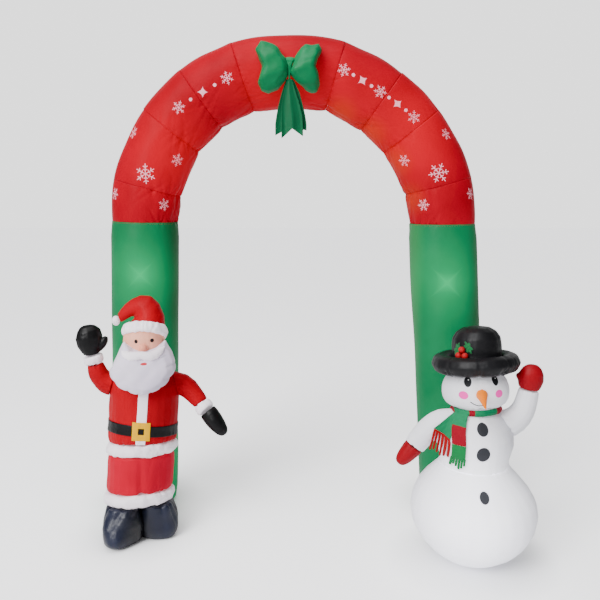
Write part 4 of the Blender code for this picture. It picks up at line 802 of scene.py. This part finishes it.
trimLow = manSeam(0.155, 10, 0, 10, 30, 0.006, 0.016, 0.0028)
trouserLow = manSeam(0.222, 9, 0, 11, 40, 0.006, 0.026, 0.0024, 0.0004)
trouserHigh = manSeam(0.403, 9, -2, 12, 40, 0.006, 0.026, 0.0024, 0.0004)
jacketLow = manSeam(0.463, 9, -1, 13, 44, 0.006, 0.036, 0.0028, 0.0004)
bootTop = manSeam(0.155, 10, 0, 14, 20, 0.014, 0.070, 0.0085, lean=2.5)
beltLine = manSeam(0.5345, 7, -7, 15, 40, 0.006, 0.028, 0.0030, 0.003, 0.020)
neckLine = manSeam(0.842, 0, -3, 16, 24, 0.006, 0.050, 0.0050)
hatLine = manSeam(0.994, 26, -5, 17, 30, 0.0060, 0.030, 0.0035)
raisedWrist = manLimb((-0.1905, 0.008, 0.848), (-0.21, 0, 0.98), 18, 16, 0.005, 0.020, 0.0028)
raisedHand = manLimb((-0.2010, 0.006, 0.894), (-0.13, 0, 0.99), 19, 16, 0.005, 0.018, 0.0025)
raisedShoulder = manLimb((-0.105, 0.010, 0.742), (-1.0, 0, 0.3), 20, 18, 0.006, 0.026, 0.0035)
raisedElbow = manLimb((-0.165, 0.010, 0.780), (-0.75, 0, 0.66), 24, 9, 0.006, 0.022, 0.0030)
loweredWrist = manLimb((0.2964, -0.0886, 0.6517), (0.56, -0.48, -0.67), 21, 16, 0.005, 0.020, 0.0028)
loweredHand = manLimb((0.3220, -0.114, 0.6215), (0.60, -0.37, -0.71), 22, 16, 0.005, 0.018, 0.0025)
loweredShoulder = manLimb((0.150, -0.006, 0.742), (1.0, -0.3, 0.0), 23, 18, 0.006, 0.026, 0.0035)


beardLook = {"middle": (0.038, 0, 0.845), "dip": 0.0065, "lobes": 6.5, "from": 0.06, "over": 0.05, "below": 0.06}
trouserLook = {"middle": 0.31, "high": (0.22, 0.41), "deep": (0.0125, 0.0035), "x": 0.004, "half": 0.017}


def scallop(points, normals):   # the beard's edge is sewn in lobes
    away = (points - manSpot(*beardLook["middle"])) @ manSpin
    reach, about = np.hypot(away[:, 0], away[:, 2]), np.arctan2(away[:, 0], away[:, 2])
    edge = np.clip((reach - beardLook["from"]) / beardLook["over"], 0, 1) * (away[:, 2] < beardLook["below"])
    dip = beardLook["dip"] * (1 - np.abs(np.sin(about * beardLook["lobes"]))) ** 2 * edge
    radial = np.stack((away[:, 0], 0 * reach, away[:, 2]), 1) / np.maximum(reach, 0.01)[:, None]
    return points - (radial @ manSpin.T) * dip[:, None]


def legsApart(points, normals):   # the sewn line between the trouser legs, deeper towards the hem
    away = (points - manLine(trouserLook["middle"])) @ manSpin
    depth = np.interp(points[:, 2], trouserLook["high"], trouserLook["deep"])
    line = np.exp(-((away[:, 0] - trouserLook["x"]) / trouserLook["half"]) ** 2)
    return points - normals * (depth * line)[:, None]


def fades(value, start, over):   # 1 where a share lies well below a start, 0 past it
    return np.clip((start - value) / over, 0, 1)


bootLook = {"middle": 0.07, "bulge": 0.009, "corner": 0.026, "toe": 0.022, "lift": 0.008}


def bootsMeet(points, normals):   # the boots bulge together, and the left one's toe points outward
    middle = manLine(bootLook["middle"])
    away = (points - middle) @ manSpin
    share = (away - away.min(0)) / (away.max(0) - away.min(0))
    left = away[:, 0].mean() < 0
    inner = share[:, 0] if left else 1 - share[:, 0]
    bulge = bootLook["bulge"] * np.clip(inner * 4 - 3, 0, 1) * fades(share[:, 2], 0.85, 0.3)
    away[:, 0] += bulge if left else -bulge
    if left:
        corner = np.clip((inner - 0.40) / 0.5, 0, 1) * fades(share[:, 1], 0.60, 0.5) * fades(share[:, 2], 0.80, 0.5)
        toe = fades(inner, 0.80, 0.4) * fades(share[:, 1], 0.50, 0.5) * fades(share[:, 2], 0.80, 0.6)
        away[:, 1] += bootLook["corner"] * corner - bootLook["toe"] * toe
        away[:, 2] += bootLook["lift"] * corner * (1 - share[:, 2])
    return middle + away @ manSpin.T


bootBillow = (0.0026, 0.085)
trimBillow = (0.0026, 0.060)
manPieces = {   # node: material, slot, voxel, smoothing rounds, fill; then seams, its own billow and shape
    "man_boot_left": (slateCloth, "black_cloth", 0.0055, 20, 0.90, (bootTop,), bootBillow, bootsMeet),
    "man_boot_right": (slateCloth, "black_cloth", 0.0055, 20, 0.90, (bootTop,), bootBillow, bootsMeet),
    "man_trouser_trim": (trimCloth, "white_cloth", 0.0052, 5, 0.90, (trimLow, trouserLow), trimBillow),
    "man_trousers": (trouserCloth, "red_cloth", 0.0050, 5, 0.90, (trouserLow, trouserHigh), None, legsApart),
    "man_jacket_trim": (trimCloth, "white_cloth", 0.0052, 5, 0.90, (trouserHigh, jacketLow), trimBillow),
    "man_jacket": (suitCloth, "red_cloth", 0.0050, 6, 0.90, (jacketLow, beltLine, neckLine)),
    "man_sleeve_raised": (suitCloth, "red_cloth", 0.0035, 10, 0.90, (raisedShoulder, raisedElbow, raisedWrist)),
    "man_sleeve_lowered": (suitCloth, "red_cloth", 0.0035, 10, 0.90, (loweredShoulder, loweredWrist)),
    "man_cuff_raised": (trimCloth, "white_cloth", 0.0030, 8, 0.90, (raisedWrist, raisedHand)),
    "man_cuff_lowered": (trimCloth, "white_cloth", 0.0030, 8, 0.90, (loweredWrist, loweredHand)),
    "man_mitten_raised": (blackCloth, "black_cloth", 0.0030, 10, 0.90, (raisedHand,)),
    "man_mitten_lowered": (blackCloth, "black_cloth", 0.0030, 10, 0.90, (loweredHand,)),
    "man_head": (skinCloth, "skin_cloth", 0.0048, 5, 0.90, (neckLine,)),
    "man_hat_band": (trimCloth, "white_cloth", 0.0036, 7, 0.90, (hatLine,), (0.0018, 0.035)),
    "man_hat": (suitCloth, "red_cloth", 0.0042, 12, 0.90, (hatLine,)),
    "man_pompom": (trimCloth, "white_cloth", 0.0022, 5, 0.90),
    "man_beard": (beardCloth, "lilac_white_cloth", 0.0046, 10, 0.90, (), (0.0016, 0.070), scallop),
    "man_moustache": (trimCloth, "lilac_white_cloth", 0.0026, 8, 0.90),
    "man_nose": (noseCloth, "skin_cloth", 0.0022, 6, 0.95),
}
blowUp(manPieces, (0.0012, 0.12), 60)
print("figure's blown-up pieces set")

# the snowman
headTurn = snowSpin @ np.array(turned(5.0, 3.0))


def snowLine(z):
    return snowSpot(0.006 - 0.014 * z, 0, z)


def headSpot(x, y, z):   # a spot in the snowman's tilted head, from its neck
    return snowLine(0.714) + headTurn @ np.array((x, y, z))


def headSeam(at, *folds, **more):
    return ringSeam(headSpot(*at), headTurn @ (0, 0, 1.0), *folds, **more)


def snowLimb(at, up, *folds):
    return ringSeam(snowSpot(*at), snowSpin @ up, *folds)


waist = ringSeam(snowLine(0.460), snowSpin @ (0, 0, 1.0), 31, 46, 0.006, 0.022, 0.0016, 0.0)
neck = headSeam((0, 0, 0), 32, 30, 0.006, 0.030, 0.0035)
brow = headSeam((0.004, 0, 0.171), 33, 34, 0.008, 0.030, 0.0045)
crownTop = headSeam((0.015, 0, 0.300), 34, 14, 0.009, 0.08, 0.0060, 0.0, fan=True, lean=0)
armLow = snowLimb((-0.130, -0.015, 0.650), (-1.0, 0, 0.05), 35, 16, 0.006, 0.026, 0.0020, 0.0)
armHigh = snowLimb((0.130, 0, 0.640), (1.0, 0, 0.15), 36, 16, 0.006, 0.026, 0.0020, 0.0)
handLow = snowLimb((-0.267, -0.022, 0.535), (-0.66, -0.07, -0.75), 37, 18, 0.005, 0.020, 0.0028)
handHigh = snowLimb((0.225, 0, 0.797), (0.09, 0, 0.99), 38, 18, 0.005, 0.020, 0.0028)


crownLook = {"x": 0.015, "wider": 0.085, "from": 0.240, "over": 0.070}
rimLook = {"z": 0.460, "out": 0.0048, "reach": 0.016, "beyond": 0.12}


def squarer(points, normals):   # the crown keeps its width to the top
    middle = headSpot(crownLook["x"], 0, 0)
    away = (points - middle) @ headTurn
    wider = 1 + crownLook["wider"] * np.clip((away[:, 2] - crownLook["from"]) / crownLook["over"], 0, 1)
    away[:, :2] *= wider[:, None]
    return middle + away @ headTurn.T


def flush(points, normals):   # torso and ball meet without a groove
    middle = snowLine(rimLook["z"])
    away = (points - middle) @ snowSpin
    reach = np.hypot(away[:, 0], away[:, 1])
    near = np.clip(1 - np.abs(away[:, 2]) / rimLook["reach"], 0, 1) ** 1.5 * (reach > rimLook["beyond"])
    away[:, :2] *= (1 + rimLook["out"] * near / np.maximum(reach, 0.01))[:, None]
    return middle + away @ snowSpin.T


snowPieces = {   # the same columns as manPieces
    "snow_ball": (printedCloth, "white_cloth", 0.0080, 3, 0.95, (waist,), None, flush),
    "snow_torso": (printedCloth, "white_cloth", 0.0055, 4, 0.95, (waist, neck, armLow, armHigh), None, flush),
    "snow_head": (printedCloth, "white_cloth", 0.0058, 8, 0.95, (neck, brow)),
    "snow_hat_crown": (hatCloth, "black_cloth", 0.0050, 5, 0.90, (crownTop,), None, squarer),
    "snow_hat_brim": (hatCloth, "black_cloth", 0.0052, 8, 0.90, (brow,)),
    "snow_nose": (carrotCloth, "orange_cloth", 0.0030, 5, 0.95),
    **{f"snow_berry_{k}": (berryCloth, "red_cloth", 0.0020, 5, 0.95) for k in (1, 2, 3)},
    "snow_arm_lowered": (whiteCloth, "white_cloth", 0.0040, 10, 0.95, (armLow, handLow)),
    "snow_arm_raised": (whiteCloth, "white_cloth", 0.0040, 10, 0.95, (armHigh, handHigh)),
    "snow_mitten_lowered": (mittenCloth, "red_cloth", 0.0032, 10, 0.90, (handLow,)),
    "snow_mitten_raised": (mittenCloth, "red_cloth", 0.0032, 10, 0.90, (handHigh,)),
}
blowUp(snowPieces, (0.0012, 0.16), 90)
collarPiece = dress("snow_scarf_neck", softMesh("snow_scarf_neck", 0.0032, 4, (), (0.0008, 0.05), 4),
                    (scarfGreen, scarfRed), "scarf_green_cloth", 0.8)
print("snowman's blown-up pieces set")

# the belt, front strips and buckle lie on the finished jacket, so they are cast onto it
trims = {
    "front": -92.5, "thick": 0.0020,
    "belt": (0.508, 0.561), "beltLift": 0.0012, "beltWide": 0.054, "beltNear": 0.006,
    "strips": {"lower": (0.4665, 0.5065), "upper": (0.5625, 0.7450)}, "stripHalf": 7.8, "stripLift": 0.0013,
    "stripWide": 0.0445, "stripPitch": 0.003, "stripOver": 0.004, "outside": 0.4,
    "buckle": (0.488, 0.581), "buckleHalf": 14.3, "buckleLift": 0.0046, "buckleCut": (0.083, 0.094),
    "cells": 24, "open": range(8, 16), "rim": 0.0006,   # the middle third of the buckle is open
    "rounds": 24, "lean": ((0.463, 9, -1), (0.478, 9, -4), (0.510, 8, -7), (0.560, 7, -7), (0.640, 5, -6),
                           (0.700, 3, -4), (0.750, 2, -3)),   # height, front lift and side lift of the jacket
}


def treeOf(mesh):
    return BVHTree.FromPolygons([v.co for v in mesh.vertices], [p.vertices for p in mesh.polygons])


def run(rows):   # the length of a row of points
    return float(np.linalg.norm(np.diff(rows, axis=0), axis=1).sum())


def turnsBy(half, count):   # angles about the jacket's front, in degrees
    return np.linspace(trims["front"] - half, trims["front"] + half, count)


jacketTree = treeOf(bpy.data.objects["man_jacket_cloth"].data)


def onJacket(angles, heights, lift):   # rows of points on the jacket, bridging its finer wrinkles
    high, *lean = np.array(trims["lean"]).T
    reach, ways, centres = [], [], []
    for z in heights:
        turn, centre = turned(*(np.interp(z, high, column) for column in lean)), manLine(z)
        way = [manSpin @ np.array(turn @ Vector((math.cos(a), math.sin(a), 0))) for a in np.radians(angles)]
        hits = [jacketTree.ray_cast(Vector(centre + out * trims["outside"]), Vector(-out))[0] for out in way]
        reach.append([(hit - Vector(centre)).length if hit else np.nan for hit in hits])
        ways.append(way)
        centres.append(centre)
    reach = np.array(reach)
    for column in reach.T:   # past the jacket's rounded rim the nearest height's reach goes on
        known = np.flatnonzero(~np.isnan(column))
        column[:] = np.interp(np.arange(len(column)), known, column[known])
    soft = reach.copy()
    for _ in range(trims["rounds"]):
        soft[:, 1:-1] = (soft[:, :-2] + soft[:, 1:-1] + soft[:, 2:]) / 3
        soft[1:-1] = (soft[:-2] + soft[1:-1] + soft[2:]) / 3
    reach = np.maximum(soft, reach) + lift
    return np.array(centres)[:, None, :] + np.array(ways) * reach[:, :, None]


beltTree = treeOf(frame["nodes"]["man_belt"].data)
angles = turnsBy(180, 360)
rows = onJacket(angles, np.linspace(*trims["belt"], 12), trims["beltLift"] + trims["thick"] / 2)
kept = [k for k in range(len(angles)) if beltTree.find_nearest(Vector(rows[6][k]))[3] < trims["beltNear"]]
laySheet("man_belt", [rows[:, kept]], trims["thick"], blackCloth, "black_cloth", "stretched", "man_jacket",
         (trims["beltWide"], run(rows[6, kept])))

stripTop = max(v.co.z for v in frame["nodes"]["man_front_strip_upper"].data.vertices)
for part, (low, high) in trims["strips"].items():
    heights = np.linspace(low, high, int((high - low) / trims["stripPitch"]))
    rows = onJacket(turnsBy(trims["stripHalf"], 16), heights, trims["stripLift"])
    rows = rows[rows[:, :, 2].max(1) < stripTop + trims["stripOver"]]
    laySheet(f"man_front_strip_{part}", [rows], trims["thick"], trimCloth, "white_cloth", "stretched", "man_jacket",
             (trims["stripWide"], run(rows[:, 8])))

heights, flat = np.linspace(*trims["buckle"], trims["cells"] + 1), trims["buckleCut"]
rows = onJacket(turnsBy(trims["buckleHalf"], trims["cells"] + 1), heights, trims["buckleLift"])
laySheet("man_buckle", [rows], trims["thick"], goldCloth, "gold_cloth", "laid", "man_belt", flat, trims["rim"],
         lambda j, k: j in trims["open"] and k in trims["open"], area=flat[0] * flat[1] * 8 / 9)
print("belt set")

# the snowman's collar in two colours, its scarf tails, fringes and leaves
collar = ((-9.0, 0.668), (0.7176, 0.741), (0.840, 9.0))   # the collar's red stretches, by place along its front
for face in collarPiece.data.polygons:
    face.material_index = int(any(low < face.center.x < high for low, high in collar))

drape = np.array(((0.745, 0.116), (0.705, 0.1165), (0.682, 0.132), (0.655, 0.148), (0.625, 0.162),
                  (0.590, 0.1715), (0.555, 0.1715), (0.515, 0.161), (0.482, 0.156), (0.460, 0.158),
                  (0.440, 0.172)))[::-1].T   # height and half width of the chest
scarf = {
    "clear": {"left": 0.0046, "right": 0.0088}, "tuck": -0.0060, "thick": 0.0020, "across": 30, "down": 60,
    "first": 0.22, "rib": 0.0007,   # where a tail leaves the collar, and the soft ribs down its knit
    "tails": {   # left x and z, right x and z of the edges, from the collar down
        "left": ((-0.088, 0.714, -0.046, 0.718), (-0.112, 0.698, -0.056, 0.697), (-0.130, 0.684, -0.072, 0.672),
                 (-0.158, 0.661, -0.112, 0.645), (-0.190, 0.636, -0.126, 0.602)),
        "right": ((-0.090, 0.703, -0.050, 0.708), (-0.112, 0.674, -0.062, 0.676), (-0.119, 0.646, -0.066, 0.646),
                  (-0.120, 0.618, -0.066, 0.618), (-0.120, 0.590, -0.066, 0.590)),
    },
    "change": 0.664,   # where the right tail's cloth turns from green to red
    "cut": {"left": (0.074, 0.145), "right": (0.066, 0.135)},
    "slots": ("scarf_green_cloth", "scarf_red_cloth"),
}


def onChest(x, z, clear):   # a point in front of the snowman's chest
    wide = np.interp(z, *drape)
    across = min(abs(x), wide * 0.90)
    return snowSpot(x, -math.sqrt(wide ** 2 - across ** 2) - clear, z)


def scarfSpot(step, share):   # a spot of the tail at hand, by its place down its edges and its share across
    leftX, leftZ, rightX, rightZ = (np.interp(step, range(len(edges)), column) for column in np.array(edges).T)
    off = np.interp(step, (scarf["first"], 1.0), (scarf["tuck"], scarf["clear"][side]))
    ripple = scarf["rib"] * math.sin(share * 17 + step * 2.2)
    return onChest(leftX + (rightX - leftX) * share, leftZ + (rightZ - leftZ) * share, off + ripple)


for side, edges in scarf["tails"].items():
    flat = scarf["cut"][side]
    rows = woven((scarf["first"], len(edges) - 1, scarf["down"]), (0, 1, scarf["across"]), scarfSpot)
    tail = laySheet(f"snow_scarf_tail_{side}", [rows], scarf["thick"], (scarfGreen, scarfRed),
                    scarf["slots"][side == "right"], "hung", "snow_scarf_neck", flat, area=0.95 * flat[0] * flat[1])
    for face in tail.data.polygons:
        face.material_index = int(side == "right" and face.center.z < scarf["change"])


def strandSpot(step, way):   # a spot of the strand at hand, by its shares down and across
    drop = low - fringe["under"] + (fall - low) * step
    narrow = half * (1 - fringe["taper"] * step) * (1 - 0.5 * max(0.0, step - 0.95) / 0.05)
    at = left + (right - left) * (middle + narrow * way) + (sway * step, -drop)
    return onChest(at[0], at[1], clear + curl * step * math.sin(phase + 5 * step + way))


fringe = {"left": (0.088, 0.016, 1, 6, 1.70, 0.010, 6),   # length, spread, and red or green; then how many
          "right": (0.096, 0.004, 0, 6, 1.96, 0.060, 24),   # strands, width in cells, uncut part and its rows
          "strip": 0.0007, "thick": 0.8, "curl": (0.0008, 0.0022), "lean": 1.2, "extra": 0.008, "uneven": 0.10,
          "under": 0.001, "taper": 0.15, "down": 36, "across": 31, "strandAcross": 5}
for side in ("left", "right"):   # flat cut strands below a narrow strip
    length, spread, red, count, strandWide, low, uncut = fringe[side]
    edge, clear = scarf["tails"][side][-1], scarf["clear"][side]
    left, right = np.array(edge[:2]), np.array(edge[2:])
    cells = count * 2 - 1
    grids = [woven((fringe["strip"], low, uncut), (0, 1, fringe["across"]),
                   lambda drop, share: onChest(*(left + (right - left) * share + (0, -drop)), clear))]
    rng = np.random.default_rng(6 + red)
    for cell in range(0, cells, 2):
        middle, half = (cell + 0.5) / cells, strandWide / 2 / cells
        sway = spread * (cell / (cells - 1) - fringe["lean"])
        fall = fringe["extra"] + length * (1 + fringe["uneven"] * math.sin(cell * 2.4))
        curl, phase = rng.uniform(*fringe["curl"]), rng.uniform(0, tau)
        grids.append(woven((0, 1, fringe["down"]), (-1, 1, fringe["strandAcross"]), strandSpot))
    wide = float(np.linalg.norm(right - left))
    laySheet(f"snow_fringe_{side}", grids, scarf["thick"] * fringe["thick"], (yarnGreen, yarnRed)[red],
             scarf["slots"][red], "hung", f"snow_scarf_tail_{side}", (wide, length * 1.1),
             area=wide * length * 1.04)

leaves = {"long": 0.030, "wide": 0.017, "valley": 0.62, "point": 1.8, "lean": -6.0, "lift": 0.0016, "thick": 0.0012,
          "fold": 0.0012, "foldHalf": 0.010, "vein": 0.0006, "cut": (0.034, 0.060), "rings": 9, "edge": 97,
          "crown": ((0.182, 0.221, 0.268, 0.308), (0.1060, 0.1072, 0.1082, 0.1040)),   # its height and radius
          "places": {"left": (-58, 0.268, 25), "right": (-29, 0.276, -30)}}   # round the crown, height, roll


def leafSpot(share, about):   # a spot of the leaf at hand, by its share from the middle and its turn
    edge = leaves["valley"] + (1 - leaves["valley"]) * abs(math.cos(3 * about)) ** leaves["point"]
    x = leaves["wide"] * edge * math.sin(about) * share
    z = leaves["long"] * edge * math.cos(about) * share
    fold = -leaves["fold"] * (1 - min(1.0, abs(x) / leaves["foldHalf"]))
    return centre + turn @ np.array((x, fold + leaves["vein"] * math.sin(z * 420 + abs(x) * 300), z))


for side, (angle, height, roll) in leaves["places"].items():
    radius, a, flat = np.interp(height, *leaves["crown"]) + leaves["lift"], math.radians(angle), leaves["cut"]
    centre = headSpot(crownLook["x"] + radius * math.sin(a), -radius * math.cos(a), height)
    turn = headTurn @ np.array(Matrix.Rotation(a, 3, "Z") @ Matrix.Rotation(math.radians(roll), 3, "Y")
                               @ Matrix.Rotation(math.radians(leaves["lean"]), 3, "X"))
    rows = woven((0.02, 1, leaves["rings"]), (0, tau, leaves["edge"]), leafSpot)
    laySheet(f"snow_leaf_{side}", [rows], leaves["thick"], leafCloth, "scarf_green_cloth", "laid", "snow_hat_crown",
             flat, area=flat[0] * flat[1] * 0.48)
print("scarf and leaves set")


# stitches along the arch's seams: a short thread laid at each point of a guide
def stitchTree():
    tree = bpy.data.node_groups.new("stitches on points", "GeometryNodeTree")
    tree.interface.new_socket("Geometry", in_out="INPUT", socket_type="NodeSocketGeometry")
    sockets = [tree.interface.new_socket(name, in_out="INPUT", socket_type="NodeSocket" + kind).identifier
               for name, kind in (("Length", "Float"), ("Radius", "Float"), ("Material", "Material"))]
    tree.interface.new_socket("Geometry", in_out="OUTPUT", socket_type="NodeSocketGeometry")
    given = addNode(tree, "NodeGroupInput").outputs
    thread = addNode(tree, "GeometryNodeMeshUVSphere", None, {"Segments": 6, "Rings": 4, "Radius": 1.0})
    size = addNode(tree, "ShaderNodeCombineXYZ", {"X": given["Radius"], "Y": given["Radius"], "Z": given["Length"]})
    shaped = addNode(tree, "GeometryNodeTransform", {"Geometry": thread.outputs[0], "Scale": size.outputs[0]})
    way = addNode(tree, "GeometryNodeInputNamedAttribute", None, {"Name": "way"}, data_type="FLOAT_VECTOR")
    turn = addNode(tree, "FunctionNodeAlignRotationToVector", {"Vector": way.outputs[0]}, axis="Z")
    laid = addNode(tree, "GeometryNodeInstanceOnPoints",
                   {"Points": given["Geometry"], "Instance": shaped.outputs[0], "Rotation": turn.outputs[0]})
    whole = addNode(tree, "GeometryNodeRealizeInstances", {0: laid.outputs[0]})
    dyed = addNode(tree, "GeometryNodeSetMaterial", {"Geometry": whole.outputs[0], "Material": given["Material"]})
    addNode(tree, "NodeGroupOutput", {0: dyed.outputs[0]})
    return tree, sockets


stitch = {"pitch": 0.0125, "half": 0.0040, "thread": 0.0008, "off": 0.0060, "sunk": 0.0002, "outside": 0.3}
tubeFaces, tubePoints = [], []
for piece in bpy.data.objects:
    if piece.name.startswith(("arch_panel", "leg_")) and piece.name.endswith("_cloth"):
        tubeFaces += [[k + len(tubePoints) for k in p.vertices] for p in piece.data.polygons]
        tubePoints += [v.co for v in piece.data.vertices]
tubeTree = BVHTree.FromPolygons(tubePoints, tubeFaces)
points, ways = [], []
for angle in arch["seams"]:
    centre, out, radius = archSeam(angle)
    way = np.array((-out[2], 0, out[0]))
    count = int(tau * radius / stitch["pitch"])
    for side in (-1, 1):
        for about in tau * np.arange(count) / count:
            toward = out * math.cos(about) + np.array((0, 1.0, 0)) * math.sin(about)
            start = centre + way * side * stitch["off"] + toward * stitch["outside"]
            hit, normal = tubeTree.ray_cast(Vector(start), Vector(-toward))[:2]
            if hit is not None:
                points.append(tuple(np.array(hit) - toward * stitch["sunk"]))
                ways.append(np.cross(np.array(normal), way))
guide = bpy.data.meshes.new("stitch_guide")
guide.from_pydata(points, [], [])
guide.attributes.new("way", "FLOAT_VECTOR", "POINT").data.foreach_set("vector", np.array(ways, np.float32).ravel())
threadLook = clothMaterial("polyester thread, red", "#ac0820", "#9c0319", 0.55)   # a fine line beside each seam
holder = newObject("arch_stitches_guide", guide)
nodes = holder.modifiers.new("nodes", "NODES")
nodes.node_group, sockets = stitchTree()
for socket, value in zip(sockets, (stitch["half"], stitch["thread"], threadLook)):
    nodes[socket] = value
addPiece("arch_stitches", evaluated(holder, "arch_stitches"), threadLook)
print("stitches set")
